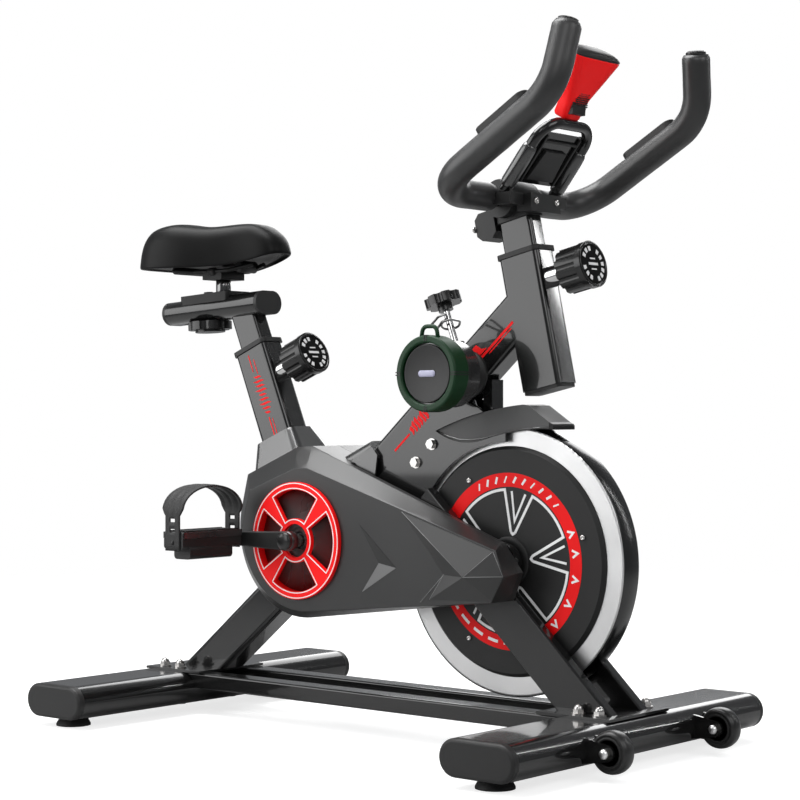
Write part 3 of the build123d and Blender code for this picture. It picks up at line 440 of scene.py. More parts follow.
def tube(parts, path, radius, sides):
    """Tube along a path; radius is a number or a function of distance along it."""
    spots = [0.0]
    for a, b in zip(path, path[1:]):
        spots.append(spots[-1] + (b - a).length)
    size = radius if callable(radius) else (lambda s: radius)
    way = (path[1] - path[0]).normalized()
    side = way.orthogonal().normalized()
    rings = []
    for i, point in enumerate(path):
        ahead = path[min(i + 1, len(path) - 1)] - path[max(i - 1, 0)]
        way = ahead.normalized()
        side = (side - way * side.dot(way)).normalized()
        over = way.cross(side)
        turns = [2 * math.pi * n / sides for n in range(sides)]
        rings.append([point + (side * math.cos(a) + over * math.sin(a)) * size(spots[i]) for a in turns])
    parts.loft(rings)


def lathe(parts, profile, place, sides=40):
    """Turned shape: profile is (radius, height) pairs, placed by a plane."""
    rings = []
    for radius, height in profile:
        rings.append([place(radius * math.cos(2 * math.pi * n / sides),
                            radius * math.sin(2 * math.pi * n / sides), height) for n in range(sides)])
    parts.loft(rings)


# --- saddle
def between(table, x):
    """Smooth value from a table of (x, value)."""
    if x <= table[0][0]:
        return table[0][1]
    for (x0, v0), (x1, v1) in zip(table, table[1:]):
        if x <= x1:
            t = (x - x0) / (x1 - x0)
            return v0 + (v1 - v0) * t * t * (3 - 2 * t)
    return table[-1][1]


def make_saddle():
    """Moulded foam saddle: two soft humps with a dip between, and a skirt with a rolled edge."""
    middle = -395.0
    outline = [(-239, 0), (-240.5, 14), (-248, 25), (-266, 32), (-292, 38), (-325, 49), (-358, 64),
               (-390, 79), (-420, 89), (-448, 92), (-472, 87), (-489, 74), (-497, 54), (-500, 28),
               (-500, 0)]
    outline += [(x, -y) for x, y in outline[-2:0:-1]]
    crown = [(-500, 764), (-470, 772), (-420, 773), (-365, 767), (-320, 770), (-285, 771), (-258, 764),
             (-239, 757)]
    base = [(-500, 704), (-440, 703), (-365, 703), (-310, 706), (-268, 716), (-239, 722)]

    def ring(grow, rise):
        """The outline grown about the saddle's middle and raised over its base."""
        return [(middle + (x - middle) * grow, y * grow, between(base, x) + rise) for x, y in outline]

    def dome(share):
        """Ring of the upper side, from 1 at the edge to 0 in the middle."""
        made = []
        for x, y in outline:
            px, py = middle + (x - middle) * share, y * share
            low, high = between(base, px), between(crown, px)
            rise = (1 - share ** 6.5) ** (1 / 2.3)
            channel = 3.2 * math.exp(-(py / 13) ** 2) * math.exp(-((px + 405) / 55) ** 2)
            swell = 1.2 * noise.noise(Vector((px * 0.02, py * 0.02, 3.0)))
            made.append((px, py, low + (high - low - channel - swell) * rise))
        return made

    hem = ((0.93, 3.0), (0.955, 2.0), (0.975, -2.0), (0.992, -2.4), (1.004, -0.6), (1.006, 3.0))
    shares = (0.993, 0.98, 0.955, 0.92, 0.87, 0.81, 0.73, 0.64, 0.54, 0.42, 0.28, 0.14)
    cushion = Parts()
    cushion.loft([ring(*row) for row in hem] + [dome(share) for share in shares])
    saddle = cushion.make("saddle_cushion", "saddle", "saddle_cover", subdiv=2)
    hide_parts("saddle")

    pan = Parts()
    pan.loft([ring(*row) for row in ((0.10, 2.5), (0.50, 2.0), (0.80, 1.2), (0.935, 0.0), (0.945, 4.0))])
    pan.make("saddle_pan", "saddle", "black_plastic", subdiv=1)

    bumpers = Parts()
    for x, z, reach, radius in ((-322, 703, 20, 9.5), (-452, 701, 34, 6.0)):
        lathe(bumpers, [(radius * 0.7, -reach), (radius, 3 - reach), (radius, reach - 3),
                        (radius * 0.7, reach)], around(crossways, (x, z)), 24)
    for y in (-24, 24):
        lathe(bumpers, [(3.2, -7), (6.4, -6), (6.4, 6), (3.2, 7)],
              plane_place((STEM_X, y, 696.5), (0, 1, 0), (0, 0, 1)), 20)
    bumpers.make("saddle_bumpers", "saddle", "rubber")


# --- grips, plugs and pulse pads
def make_grips():
    """Foam sleeves over the bar, slightly uneven, with rolled ends."""
    for sign, side in SIDES:
        inner_end = (GRIP_CORNER[0], 52.0, GRIP_CORNER[2])
        corners = [(x, sign * y, z) for x, y, z in (GRIP_END, GRIP_ELBOW, GRIP_CORNER, inner_end)]
        path, spots = resample(rounded(corners, GRIP_BEND, 14), 6.0)
        length = spots[-1]

        def radius(s):
            inset = min(s, length - s)
            end = 2.6 * max(0.0, 1 - inset / 5.0) ** 2
            return GRIP_RADIUS - end + 0.25 * noise.noise(Vector((s * 0.05, sign * 4.0, 0)))

        parts = Parts()
        tube(parts, path, radius, 36)
        grip = parts.make("foam_grip_" + side, "bars", "foam")
        if sign < 0:
            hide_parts("foam_grips")

        way = (path[0] - path[1]).normalized()
        across = way.orthogonal().normalized()
        plug = Parts()
        lathe(plug, [(0.5, 5.2), (9.0, 5.0), (12.6, 4.2), (14.2, 2.6), (14.4, 0.6), (14.4, -3.0)],
              plane_place(path[0], across, way.cross(across)), 32)
        plug.make("grip_end_plug_" + side, "bars", "black_plastic", bevel=0.4)


# --- pedals
def strap_line(half):
    """The strap seen along the bike: up one leg, over the arch and down the other leg."""
    shoulder, crest = 326.0, 365.0
    levels = [271, 279, 288, 294, 298, 303, 308, 313, 318, 322]
    arch = [(-half * math.cos(math.pi * i / 22),
             shoulder + (crest - shoulder) * math.sin(math.pi * i / 22) ** 0.9) for i in range(23)]
    return [(-half, z) for z in levels] + arch + [(half, z) for z in levels[::-1]]


def make_strap(side, x):
    """Rubber strap, wider over the foot, with three ribs along it and two slots in each leg."""
    low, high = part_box("pedal_strap_" + side)
    middle, half = (low.y + high.y) / 2 / MM, (high.y - low.y) / 2 / MM - 1.4
    line = strap_line(half)
    columns = [c / 8 for c in range(-8, 9)]
    across = len(columns)
    verts, faces = [], []
    for i, (u, v) in enumerate(line):
        way = Vector(line[min(i + 1, len(line) - 1)]) - Vector(line[max(i - 1, 0)])
        out = Vector((-way.y, way.x)).normalized()
        crown = min(1.0, max(0.0, (v - 322) / 9))
        wide = 14.5 + 7.0 * crown
        for c in columns:
            lift = 1.3 * min(1.0, crown * 1.5) * max(0.0, math.cos(c * 3 * math.pi)) ** 3
            verts.append((x + c * wide, middle + u + out.x * lift, v + out.y * lift))
    for i in range(len(line) - 1):
        level = (line[i][1] + line[i + 1][1]) / 2
        in_slot = 298 < level < 303 or 313 < level < 318
        for c in range(across - 1):
            if not (in_slot and 5 <= c <= 10):
                a = i * across + c
                faces.append([a, a + 1, a + across + 1, a + across])
    strap = add_mesh("pedal_strap_moulding_" + side, verts, faces, side + "_pedal", "rubber", solid=2.4)
    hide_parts("pedal_strap_" + side)

    studs = Parts()
    for edge in (-1, 1):
        face = middle + edge * (half + 1.2)
        lathe(studs, [(3.6, -0.3), (3.4, 1.1), (1.6, 1.7), (0.3, 1.8)],
              lambda u, v, h: (x + u, face + edge * h, CRANK[1] + v), 20)
    studs.make("strap_studs_" + side, side + "_pedal", "black_plastic")


def make_tread(side, x, near, far):
    """Bars and side rails on the pedal's upper face, and the thin flange round its edge."""
    tread = Parts()
    for n in range(9):
        y = near + 8 + (far - near - 16) * n / 8
        tread.slab(rectangle(x - 17, y - 2.0, x + 17, y + 2.0), upward, PEDAL_TOP - 0.5, PEDAL_TOP + 1.8)
    for rail in (x - 18, x + 18):
        tread.slab(rectangle(rail - 1.6, near + 3, rail + 1.6, far - 3), upward,
                   PEDAL_TOP - 0.5, PEDAL_TOP + 2.4)
    flange, wall = Parts(), 0.9
    edges = [(side_x - wall, near - wall, side_x + wall, far + wall) for side_x in (x - 20.7, x + 20.7)]
    edges += [(x - 20.7 - wall, y - wall, x + 20.7 + wall, y + wall) for y in (near, far)]
    for edge in edges:
        flange.slab(rectangle(*edge), upward, PEDAL_TOP - 9.0, PEDAL_TOP + 0.6)
    flange.make("pedal_flange_" + side, side + "_pedal", "guard_plastic", gloss_shell, smooth=False,
                bevel=0.6)
    tread.make("pedal_tread_" + side, side + "_pedal", "black_plastic", smooth=False, bevel=0.5)


def make_pedals():
    for sign, side in SIDES:
        x = CRANK[0] + sign * CRANK_LENGTH
        make_strap(side, x)
        make_tread(side, x, *sorted((sign * PEDAL_NEAR, sign * PEDAL_FAR)))


# --- monitor
def make_monitor():
    """Wedge-shaped monitor: shell, crown, bezel, screen, key and the dots of its loudspeaker."""
    low, high = Vector((306, 0, 901)), Vector((341, 0, 963))
    way = (high - low).normalized()
    across = Vector((way.z, 0, -way.x))
    side = Vector((0, 1, 0))

    def section(share, depth, width, round_by=4.0):
        centre = low.lerp(high, share)
        made = []
        for n in range(32):
            a = 2 * math.pi * (n + 0.5) / 32
            c, s = math.cos(a), math.sin(a)
            grow = (abs(c) ** round_by + abs(s) ** round_by) ** (-1 / round_by)
            made.append(tuple(centre + across * (c * grow * depth / 2) + side * (s * grow * width / 2)))
        return made

    parts = Parts()
    parts.loft([section(*row) for row in (
        (-0.30, 24, 32), (-0.24, 28, 37), (0.0, 26, 41), (0.18, 27, 50), (0.45, 31, 69), (0.72, 35, 87),
        (0.95, 38, 103), (1.0, 38, 104))])
    shell = parts.make("monitor_shell", "bars", "red_plastic", bevel=1.2)
    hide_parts("monitor")

    crown = Parts()
    crown.loft([section(*row) for row in (
        (0.995, 36.5, 102, 5), (1.03, 36.5, 101, 5), (1.08, 34, 90), (1.115, 30, 70), (1.13, 24, 44))])
    crown.make("monitor_crown", "bars", "black_plastic", smoke_plastic, bevel=0.8)

    face_middle = low.lerp(high, 0.62) - across * 16.8
    face = plane_place(face_middle, -side, way)
    bezel = Parts()
    bezel.slab([(-27, -24), (27, -24), (43, 22), (36, 28), (-36, 28), (-43, 22)], face, -1.5, 1.6)
    bezel.make("monitor_bezel", "bars", "black_plastic", smoke_plastic, smooth=False, bevel=0.8)
    glass = Parts()
    glass.slab([(-23, -10), (23, -10), (34, 21), (-34, 21)], face, 1.0, 2.1)
    glass.make("monitor_screen", "bars", "black_plastic", screen_grey, smooth=False, bevel=0.3)
    key = Parts()
    lathe(key, [(0.4, 3.6), (4.5, 3.4), (6.0, 2.4), (6.2, 1.0)],
          plane_place(face_middle - way * 17, -side, way), 28)
    key.make("monitor_key", "bars", "red_plastic")

    back = plane_place(low.lerp(high, 0.10) + across * 13.6, side, way)
    vents = Parts()
    for row in range(10):
        for n in range(-5 + row // 3, 6 - row // 3):
            spot = (n * 3.2 + row % 2 * 1.6, row * 2.9 - 8)
            lathe(vents, [(1.2, -0.8), (1.2, 0.5), (0.6, 0.7)], around(back, spot), 10)
    vents.make("monitor_speaker_dots", "bars", "black_plastic", smooth=False)


# --- printed and moulded details
def flywheel_print(sign, side):
    """Red ring with white dashes and chevrons, and five white spoke outlines."""
    place = side_place(COVER_FACE, sign)

    def spot(radius, angle):
        return polar(FLYWHEEL, radius, angle if sign < 0 else 180 - angle)

    red = Parts()
    ring_band(red, FLYWHEEL, 105, 124.5, place, -0.2, 0.25, 8)
    red.make("flywheel_red_ring_" + side, "flywheel", "red_plastic", red_print, smooth=False)

    white = Parts()
    for angle in (22, 8, -10, -28, -46):
        stroke(white, [spot(110, angle - 2.6), spot(119, angle), spot(110, angle + 2.6)], 3.0, place,
               0.0, 0.5)
    for start in range(158, 285, 14):
        stroke(white, [spot(115, start + k * 2.2) for k in range(-2, 3)], 4.2, place, 0.0, 0.5)
    for k in range(10):
        a = 118 - k * 8.0
        stroke(white, [spot(110.5, a), spot(119.5, a - 2.2)], 3.4 if k % 3 else 2.2, place, 0.0, 0.5)
    gap, hub_edge, outer_edge = 72, 42, 101
    for a in range(-64, 296, gap):
        path = [spot(hub_edge, a + 5)]
        path += [spot(outer_edge, a + 14 + (gap - 28) * k / 10) for k in range(11)]
        path += [spot(hub_edge, a + gap - 5)]
        stroke(white, path, 3.8, place, -0.2, 0.45)
        stroke(white, [spot(hub_edge, a - 5), spot(39, a), spot(hub_edge, a + 5)], 3.8, place, -0.2, 0.45)
        stroke(white, [spot(99, a - 7), spot(58, a), spot(99, a + 7)], 3.4, place, -0.2, 0.4)
    white.make("flywheel_white_lines_" + side, "flywheel", "disc_black", white_print, smooth=False)

    hub = Parts()
    lathe(hub, [(35.5, -0.2), (35.0, 1.6), (31, 2.4), (24, 2.6), (23.2, 1.8), (22.6, -0.2)],
          around(place, FLYWHEEL), 48)
    hub.make("flywheel_hub_ring_" + side, "flywheel", "disc_black")

    screws = Parts()
    for angle in (17, 122, 238):
        screw_head(screws, around(place, spot(132, angle)), 4.0, 3.4)
    screws.make("flywheel_cover_screws_" + side, "flywheel", "zinc")


def screw_head(parts, place, radius, height):
    """Domed head with a sunk middle."""
    lathe(parts, [(radius, -0.3), (radius, height * 0.35), (radius * 0.86, height * 0.75),
                  (radius * 0.5, height), (radius * 0.38, height * 0.7), (radius * 0.1, height * 0.65)],
          place, 20)


def crank_trim_lines():
    """White outlines of the trim's four openings and its outer ring."""
    place = side_place(TRIM_FACE)
    white = Parts()
    ring_band(white, CRANK, 84.4, 85.8, place, -0.2, 0.4)
    for middle in range(90, 450, 90):
        outer = [polar(CRANK, 77.6, middle + 35.6 * k / 8) for k in range(-8, 9)]
        inner = [polar(CRANK, 31.4, middle - 37.6 * k / 4) for k in range(-4, 5)]
        stroke(white, outer + inner + [outer[0]], 1.5, place, -0.2, 0.4)
    white.make("trim_white_lines", "frame", "red_plastic", white_print, smooth=False)


def make_crank_dish():
    """Gloss black dish behind the trim's openings, and the caps on the crank arms."""
    dish = Parts()
    lathe(dish, [(75.4, -6.5), (72, -7.5), (58, -10.5), (44, -12.0), (34, -10.5), (30, -6.0), (26, -4.5),
                 (13, -4.5), (13, -6.0), (25, -6.0), (33, -12.4), (44, -13.4), (58, -12.0), (75.4, -8.5)],
          around(side_place(GUARD_FACE + 0.5), CRANK), 72)
    dish.make("crank_dish", "frame", "guard_plastic", dish_plastic)
    caps = Parts()
    for sign in (-1, 1):
        lathe(caps, [(13.4, -0.3), (13.2, 1.4), (11.4, 2.6), (7.0, 3.4), (0.4, 3.6)],
              around(side_place(ARM_FACE, sign), CRANK), 40)
    caps.make("crank_arm_caps", "crank", "knob_plastic")


def guard_facets():
    """Sharp facets moulded into the guard's right side, with painted highlight lines along their edges
    and a dart painted dark above and pale below as painted shade and a painted highlight.
    """
    def outer(x, z, lift=0.0):
        return (x, -GUARD_FACE - lift, z)

    nose = Parts()
    top, corner, front, low = (73.0, 331.9), (236.0, 282.6), (253.0, 249.0), (234.0, 214.0)
    heel, notch, peak, shoulder = (124.0, 210.5), (149.7, 246.4), (192.3, 245.8), (122.0, 279.0)
    rim = [outer(*top), outer(*corner), outer(*front), outer(*low), outer(*heel), outer(*notch, 0.2)]
    nose.add(rim + [outer(*peak, 11.0)], [[n, n + 1, 6] for n in range(5)])
    nose.add([outer(*top), outer(*peak, 11.0), outer(*notch), outer(*shoulder, 0.05)], [[0, 1, 2, 3]])
    nose.make("guard_nose_facets", "frame", "guard_plastic", smooth=False, solid=1.2)

    # Pale lines along the facet edges: painted highlights.
    edge = Parts()
    for a, b in (((*top, 0.2), (*peak, 11.2)), ((107.0, 205.6, 0.2), (*notch, 0.6)),
                 ((*corner, 0.2), (*peak, 11.2)), ((*front, 0.2), (*peak, 11.2)),
                 ((*heel, 0.2), (*notch, 0.6)), ((*corner, 0.1), (*front, 0.1))):
        tube(edge, [Vector(outer(*a)), Vector(outer(*b))], 0.6, 8)
    edge.make("guard_facet_highlight_lines", "frame", "guard_plastic", painted_facet_highlight)

    # The dart's fold: the upper face darker as painted shade, the lower face pale as a painted highlight.
    dart = Parts()
    left, tip, fold, foot = (-8.2, 311.8), (62.0, 251.6), (31.9, 257.3), (-2.4, 213.7)
    dart.add([outer(*left, 0.1), outer(*tip, 0.1), outer(*fold, 2.6)], [[0, 1, 2]])
    dart.make("guard_dart_upper", "frame", "guard_plastic", looks["disc_black"], smooth=False, solid=0.6)
    light = Parts()
    light.add([outer(*fold, 2.6), outer(*tip, 0.1), outer(*foot, 0.1)], [[0, 1, 2]])
    light.make("guard_dart_lower", "frame", "guard_plastic", painted_facet_highlight, smooth=False, solid=0.6)


def leaning(lean):
    """Upward direction of a tube that leans back by an angle."""
    return Vector((-math.sin(math.radians(lean)), 0, math.cos(math.radians(lean))))


def lean_place(axis, lean, sign):
    """Side face of a leaning tube: u across the tube, v up along it."""
    up = leaning(lean)
    across = Vector((up.z, 0, -up.x))
    origin = Vector((axis[0], 0, axis[1]))
    return lambda u, v, h: tuple(origin + across * u + up * v + Vector((0, sign * (TUBE_SIDE + h), 0)))


def tube_print():
    """Abstract red stripes on the seat tube and the down tube, both sides."""
    ink = (-0.2, 0.3)
    for sign, side in SIDES:
        red = Parts()
        seat = lean_place((-276.5, 527.0), SEAT_LEAN, sign)
        stroke(red, [(-5, 40), (-5, 12)], 1.6, seat, *ink)
        stroke(red, [(3, 30), (3, 6)], 1.2, seat, *ink)
        for n, reach in enumerate((9, 13, 11, 14, 9, 12, 14, 10, 7)):
            v = 4 - n * 7.4
            mark = [(-reach * 0.9, v), (reach * 0.5, v - 1.5), (reach, v - 5.2), (-reach * 0.3, v - 4.0)]
            red.slab(mark, seat, *ink)
        stroke(red, [(0, -66), (0, -110)], 2.0, seat, *ink)
        stroke(red, [(6, -70), (6, -96)], 1.2, seat, *ink)
        down = lean_place((110.4, 510.8), DOWN_LEAN, sign)
        stroke(red, [(6, 60), (6, 142)], 4.0, down, *ink)
        stroke(red, [(11, 82), (11, 134)], 1.6, down, *ink)
        red.slab([(-14, 56), (2, 62), (2, 84), (-3, 76), (-14, 72)], down, *ink)
        for n, reach in enumerate((12, 15, 10, 14, 12, 8)):
            v = -60 - n * 7.0
            mark = [(-reach, v), (reach * 0.2, v + 2), (reach, v - 4.6), (reach * 0.1, v - 3.4),
                    (-reach * 0.6, v - 5.4)]
            red.slab(mark, down, *ink)
        stroke(red, [(0, -104), (0, -142)], 3.2, down, *ink)
        red.make("tube_red_stripes_" + side, "frame", "red_plastic", red_print, smooth=False)


def knob_print():
    """Labels of the two pull knobs with white arcs and bars, and a moulded ring round them."""
    ink = (0.1, 0.5)
    for body, origin, lean in (("seat_pin_knob", (-177.8, 0, 565.7), SEAT_LEAN),
                               ("bar_pin_knob", (341.6, 0, 677.4), HEAD_LEAN)):
        face = plane_place(origin, (0, 1, 0), leaning(lean))
        label = Parts()
        lathe(label, [(28.4, -0.6), (28.4, 0.05), (27.9, 0.2), (0.3, 0.2)], face, 64)
        label.make(body + "_label", body, "knob_plastic", matt_label)
        print_white = Parts()
        for start in range(20, 360, 24):
            if start not in (68, 164, 260):
                print_white.slab(band((0, 0), 18.6, 25.0, start, start + 14), face, *ink)
        for v, half_length, half_width in ((0, 11, 1.8), (-7.5, 6, 1), (7.5, 6, 1)):
            bar = rectangle(-half_length, v - half_width, half_length, v + half_width)
            print_white.slab(bar, face, *ink)
        print_white.make(body + "_print", body, "knob_plastic", white_print, smooth=False)
        lip = Parts()
        lathe(lip, [(31.6, -1.0), (31.4, 1.0), (30.4, 1.6), (29.4, 1.0), (29.2, -1.0)], face, 64)
        lip.make(body + "_lip", body, "knob_plastic")


# --- speaker, console and small fittings
def make_speaker_details():
    """Button, rim notches, face, hanging loop and wire clip of the speaker."""
    face = around(side_place(SPEAKER_FACE), SPEAKER)
    outline = arc(4.6, -90, 90, (10.5, 0), 20) + arc(4.6, 90, 270, (-10.5, 0), 20)
    pill = Parts()
    pill.loft([[face(u * (0.5 + 0.5 * grow), v * grow, h) for u, v in outline]
               for grow, h in ((1.0, -0.3), (1.0, 1.0), (0.86, 1.7), (0.4, 2.0))])
    pill.make("speaker_button", "frame", "speaker_rubber", button_plastic)

    rim = Parts()
    for n in range(4):
        for angle in (88 + 90 * n, 92 + 90 * n):
            way = Vector(polar((0, 0), 1, angle))
            side = Vector((-way.y, way.x))
            notch = [tuple(way * r + side * s) for r, s in rectangle(45, -0.8, 53.9, 0.8)]
            rim.slab(notch, around(side_place(SPEAKER_BACK), SPEAKER), 0.0, 30.3)
    rim.make("speaker_rim_notches", "frame", "speaker_rubber", looks["rubber"], smooth=False)

    def route(*points):
        return [Vector((SPEAKER[0] + x, y, SPEAKER[1] + z)) for x, y, z in points]

    loop = Parts()
    path = route((-15, -110, 49), (-12, -110, 66), (12, -110, 66), (15, -110, 49))
    tube(loop, rounded(path, 9, 8), 3.0, 14)
    loop.make("speaker_loop", "frame", "speaker_rubber")

    front = Parts()
    lathe(front, [(41.2, -2.0), (41.0, 0.2), (39.8, 0.7), (38.6, 0.3), (0.5, 0.3)], face, 64)
    front.make("speaker_face", "frame", "black_plastic", smoke_plastic)

    clip = Parts()
    path = route((-2, -104, 68), (-6, -84, 80), (-20, -50, 86), (-40, -20, 82), (-62, -12, 72),
                 (-66, 10, 66), (-50, 18, 70), (-36, 4, 78), (-22, -34, 79), (-10, -70, 74), (3, -98, 62))
    tube(clip, rounded(path, 26, 6), 1.7, 12)
    clip.make("speaker_clip_wire", "frame", "dark_steel")


def make_console_details():
    """Screws of the bar's clamp and console, and ribs across the pulse pads."""
    screws = Parts()
    for y in (-24, 24):
        screw_head(screws, plane_place((262, y, 768), (0, 1, 0), (0, 0, 1)), 5.0, 3.4)
    for y in (-20, 20):
        screw_head(screws, plane_place((152.5, y, 733), (0, -1, 0), (-0.2, 0, 1)), 4.5, 3.2)
    screws.make("console_screws", "bars", "zinc")

    ribs = Parts()
    for sign in (-1, 1):
        elbow, corner = (Vector((x, sign * y, z)) for x, y, z in (GRIP_ELBOW, GRIP_CORNER))
        way = (elbow - corner).normalized()
        up = way.cross(Vector((0, 1, 0))).normalized()
        across = way.cross(up).normalized()
        top = corner + way * 147 + up * 25.0
        for n in range(-5, 6):
            start = top + way * (n * 7.6)
            path = [start + across * s - up * (0.035 * s * s * 0.5) for s in (-9, -4.5, 0, 4.5, 9)]
            tube(ribs, path, 1.1, 8)
    ribs.make("pulse_pad_ribs", "bars", "black_plastic")


def make_console_rest():
    """Plastic sleeves low on the loop's legs, and the tray's rim and ribs."""
    sleeves = Parts()
    for sign in (-1, 1):
        foot, crest = Vector((232, sign * 58, 782)), Vector((304, sign * 58, 871))
        path = [foot.lerp(crest, t) for t in (0.06, 0.08, 0.12, 0.5, 0.60, 0.64, 0.66)]
        sizes = [8.3, 10.4, 11.0, 11.0, 10.6, 9.6, 8.2]
        spots = [(p - path[0]).length for p in path]
        profile = list(zip(spots, sizes))
        tube(sleeves, path, lambda d: between(profile, d), 28)
    sleeves.make("console_loop_sleeves", "bars", "guard_plastic", gloss_shell)

    rise = math.atan2(89, 72)
    along, out = Vector((math.cos(rise), 0, math.sin(rise))), Vector((-math.sin(rise), 0, math.cos(rise)))
    middle = Vector((268, 0, 826.5))
    under = plane_place(middle, (0, 1, 0), along)
    ribs = Parts()
    ribs.slab([(-30, -34), (30, -34), (24, 14), (-24, 14)], under, 0.0, 5.0)
    for edges in ((-40, -40, -36, 38), (36, -40, 40, 38), (-36, 26, 36, 30)):
        ribs.slab(rectangle(*edges), under, 0.0, 4.0)
    ribs.make("console_tray_ribs", "bars", "black_plastic", smooth=False, bevel=1.0)
    lip = Parts()
    top = plane_place(middle + out * 3.0, (0, -1, 0), along)
    lip.slab(rectangle(-46, -42, 46, -36), top, -0.2, 9.0)
    lip.slab(rectangle(-38, -28, 38, 34), top, -0.2, 1.2)
    lip.make("console_tray_ledge", "bars", "rubber", smooth=False, bevel=1.0)


def make_wheel_details():
    """Rounded tyres, hub rings and domed bolt heads of the two transport wheels."""
    for side in ("right", "left"):
        low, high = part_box("wheel_" + side)
        centre, half = (low + high) / 2 / MM, (high - low) / 2 / MM

        def at_wheel(u, v, h):
            return (centre.x + u, centre.y + h, centre.z + v)

        tyre = Parts()
        wall = [(21.0, 10.6), (22.4, 11.9), (25.0, 11.3), (27.2, 8.6), (28.2, 4.6), (28.5, 0)]
        lathe(tyre, [(r, -w) for r, w in wall[:-1]] + [(r, w) for r, w in wall[::-1]], at_wheel, 64)
        tyre.make("wheel_tyre_" + side, side + "_wheel", "rubber", tyre_rubber)
        domes = Parts()
        for face, head in ((-1, 21), (1, 22)):
            lathe(domes, [(6.4, -0.4), (6.2, 1.2), (4.6, 2.8), (2.4, 3.5), (0.3, 3.7)],
                  lambda u, v, h: at_wheel(u, v, face * (head + h)), 32)
        domes.make("wheel_bolt_domes_" + side, "frame", "zinc", bright_zinc)
        rings = Parts()
        for face in (-1, 1):
            lathe(rings, [(20.6, -0.4), (20.0, 0.5), (18.6, 0.8), (17.2, 0.4), (16.8, -0.4)],
                  lambda u, v, h: at_wheel(u, v, face * (half.y + h)), 40)
        rings.make("wheel_hub_rings_" + side, side + "_wheel", "black_plastic")


def make_stem_sleeve():
    """Bright tube round the seat stem, from the block on the slide up to the saddle's clamp."""
    inside, outside = STEM_RADIUS + 0.05, STEM_RADIUS + 0.35
    sleeve = Parts()
    lathe(sleeve, [(inside, 660.0), (outside, 660.5), (outside, 683.0), (inside, 683.5)],
          plane_place((STEM_X, 0, 0), (1, 0, 0), (0, 1, 0)), 48)
    sleeve.make("seat_stem_sleeve", "seat_carriage", "chrome", smoked_chrome)


def make_rim_edge():
    """Outer surface of the flywheel's rim, a dark metal band whose darkness is a painted reflection of
    dark surroundings.
    """
    edge = Parts()
    inside, outside = RIM_RADIUS - 0.1, RIM_RADIUS + 0.12
    flat = RIM_HALF_WIDTH - 0.6
    lathe(edge, [(inside, -RIM_HALF_WIDTH), (outside, -flat), (outside, flat), (inside, RIM_HALF_WIDTH)],
          around(crossways, FLYWHEEL), 180)
    edge.make("rim_edge", "flywheel", "rim_steel", painted_rim_reflection)


def make_cover_lip():
    """Turned-down front lip of the cover over the flywheel, and the rib along its lower edge."""
    half = 25.4
    lip = Parts()
    lip.slab([(284.5, 449.6), (293.2, 449.6), (293.2, 455.2), (291.5, 457.4), (284.5, 460.5)],
             crossways, -half, half)
    lip.make("cover_front_lip", "frame", "guard_plastic", satin_black, smooth=False, bevel=0.8)
    rib = Parts()
    path = [(88, 446.6), (108, 439.0), (128, 434.6), (150, 434.2), (172, 437.0), (202, 443.8),
            (232, 449.4), (262, 452.0), (285, 452.6)]
    for y in (-25.0, 25.0):
        tube(rib, [Vector((x, y, z)) for x, z in path], 1.1, 8)
    rib.make("cover_edge_rib", "frame", "guard_plastic", gloss_shell)


# --- stage
def stage_material(name, colour, inner, outer):
    """Floor that fades out into the backdrop far from the object."""
    made, tree, shader, coords = node_tree(name)
    shader.inputs["Base Color"].default_value = (*colour, 1)
    shader.inputs["Emission Color"].default_value = (1, 1, 1, 1)
    seen = tree.nodes.new("ShaderNodeLightPath").outputs["Is Camera Ray"]
    glow = tree.nodes.new("ShaderNodeMapRange")
    glow.inputs["To Max"].default_value = 0.75
    tree.links.new(seen, glow.inputs["Value"])
    tree.links.new(glow.outputs[0], shader.inputs["Emission Strength"])
    shader.inputs["Roughness"].default_value = 0.6
    shader.inputs["Specular IOR Level"].default_value = 0.2
    length = tree.nodes.new("ShaderNodeVectorMath")
    length.operation = "LENGTH"
    tree.links.new(coords, length.inputs[0])
    fade = tree.nodes.new("ShaderNodeMapRange")
    fade.interpolation_type = "SMOOTHSTEP"
    fade.inputs["From Min"].default_value = inner
    fade.inputs["From Max"].default_value = outer
    tree.links.new(length.outputs["Value"], fade.inputs["Value"])
    clear = tree.nodes.new("ShaderNodeBsdfTransparent")
    mix = tree.nodes.new("ShaderNodeMixShader")
    tree.links.new(fade.outputs[0], mix.inputs[0])
    tree.links.new(shader.outputs[0], mix.inputs[1])
    tree.links.new(clear.outputs[0], mix.inputs[2])
    out = next(n for n in tree.nodes if n.type == "OUTPUT_MATERIAL")
    tree.links.new(mix.outputs[0], out.inputs[0])
    return made


def make_floor():
    radius, drop = 6000, 0.4
    circle = [(x * MM, y * MM, 0.0) for x, y in arc(radius, 0, 360, step=6)[:-1]]
    data = bpy.data.meshes.new("floor")
    data.from_pydata(circle, [], [list(range(len(circle)))])
    data.materials.append(stage_material("pale_floor", (0.44, 0.44, 0.44), 1.2, 3.2))
    floor = bpy.data.objects.new("floor", data)
    floor.location.z = -drop * MM
    scene.collection.objects.link(floor)


def make_world():
    world = bpy.data.worlds.new("studio")
    scene.world = world
    world.use_nodes = True
    tree = world.node_tree
    tree.nodes.clear()
    out = tree.nodes.new("ShaderNodeOutputWorld")
    seen = tree.nodes.new("ShaderNodeBackground")
    seen.inputs["Color"].default_value = (1.0, 1.0, 1.0, 1)
    light = tree.nodes.new("ShaderNodeBackground")
    light.inputs["Color"].default_value = (0.80, 0.82, 0.85, 1)
    light.inputs["Strength"].default_value = 0.30
    path = tree.nodes.new("ShaderNodeLightPath")
    mix = tree.nodes.new("ShaderNodeMixShader")
    tree.links.new(path.outputs["Is Camera Ray"], mix.inputs[0])
    tree.links.new(light.outputs[0], mix.inputs[1])
    tree.links.new(seen.outputs[0], mix.inputs[2])
    tree.links.new(mix.outputs[0], out.inputs[0])


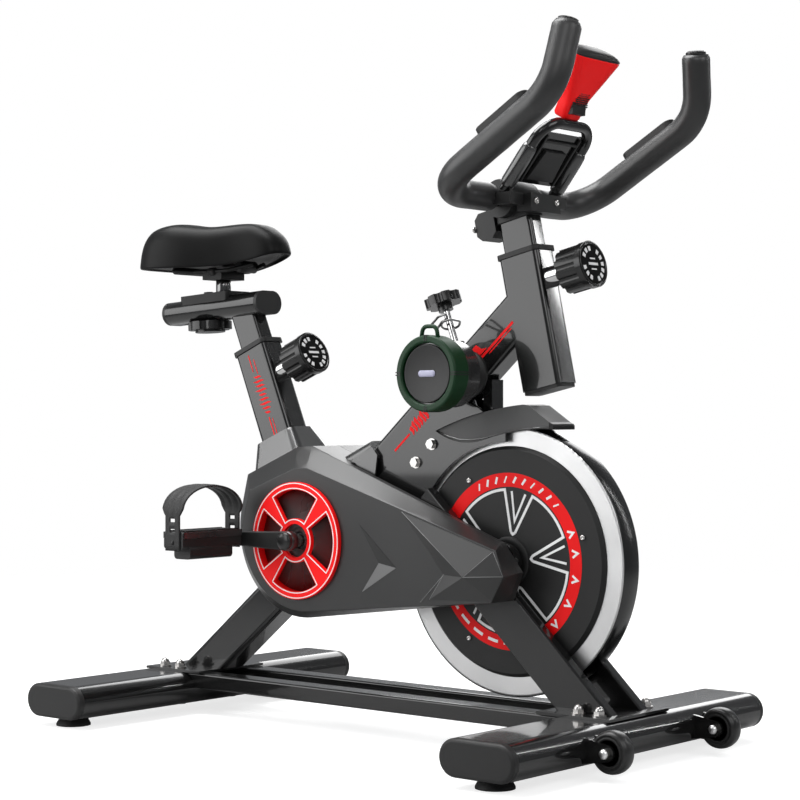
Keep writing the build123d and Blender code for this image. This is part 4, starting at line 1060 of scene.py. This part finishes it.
def area_light(name, azimuth, distance, height, size, power, target=(0, 0, 0.5)):
    """Lamp in metres and watts; azimuth 0 is on the bike's right and 90 in front of it."""
    data = bpy.data.lights.new(name, "AREA")
    data.shape = "RECTANGLE"
    data.size, data.size_y = size
    data.energy = power
    lamp = bpy.data.objects.new(name, data)
    a = math.radians(azimuth)
    lamp.location = (distance * math.sin(a), -distance * math.cos(a), height)
    lamp.rotation_euler = (Vector(target) - lamp.location).to_track_quat("-Z", "Y").to_euler()
    lamp.visible_camera = False
    scene.collection.objects.link(lamp)


def make_lights():
    area_light("left_softbox", -40, 2.6, 1.38, (2.3, 2.16), 56, (0, 0, 1.38))
    area_light("top_softbox", -63, 0.9, 3.0, (2.0, 2.0), 125)
    area_light("front_fill", 42, 4.0, 2.6, (2.0, 1.6), 40)
    area_light("right_softbox", 92, 2.8, 2.0, (1.4, 1.4), 20)
    area_light("back_softbox", 205, 3.0, 1.9, (2.2, 1.8), 50)
    area_light("seat_strip", 146.3, 2.27, 1.76, (0.015, 1.5), 0.5, (-0.24, 0, 0.5))
    area_light("head_strip", 143.2, 2.62, 1.50, (0.02, 1.6), 4.6, (0.26, 0, 0.69))


def make_camera():
    data = bpy.data.cameras.new("camera")
    data.lens = 91.5
    data.sensor_width = 36
    camera = bpy.data.objects.new("camera", data)
    camera.location = (1.9347, -2.3025, 0.4767)
    way = Vector((-0.0047, 0, 0.4917)) - camera.location
    camera.rotation_euler = way.to_track_quat("-Z", "Y").to_euler()
    scene.collection.objects.link(camera)
    scene.camera = camera


# --- build
make_camera()
make_world()
make_lights()
make_floor()
scene.view_settings.view_transform = "Standard"

soften_edges(0.8, 22, "chain_guard_right", "chain_guard_left", "guard_boots")
soften_edges(1.6, 40, "pedal_body_right", "pedal_body_left")
soften_edges(0.5, 40, "bar_clamps", "frame_plates", "crank_arms", "seat_carriage", "post_sleeves")
make_saddle()
make_grips()
make_pedals()
make_monitor()
for flank in SIDES:
    flywheel_print(*flank)
crank_trim_lines()
make_crank_dish()
guard_facets()
tube_print()
knob_print()
make_speaker_details()
make_console_details()
make_console_rest()
make_wheel_details()
make_stem_sleeve()
make_rim_edge()
make_cover_lip()

bpy.context.view_layer.update()
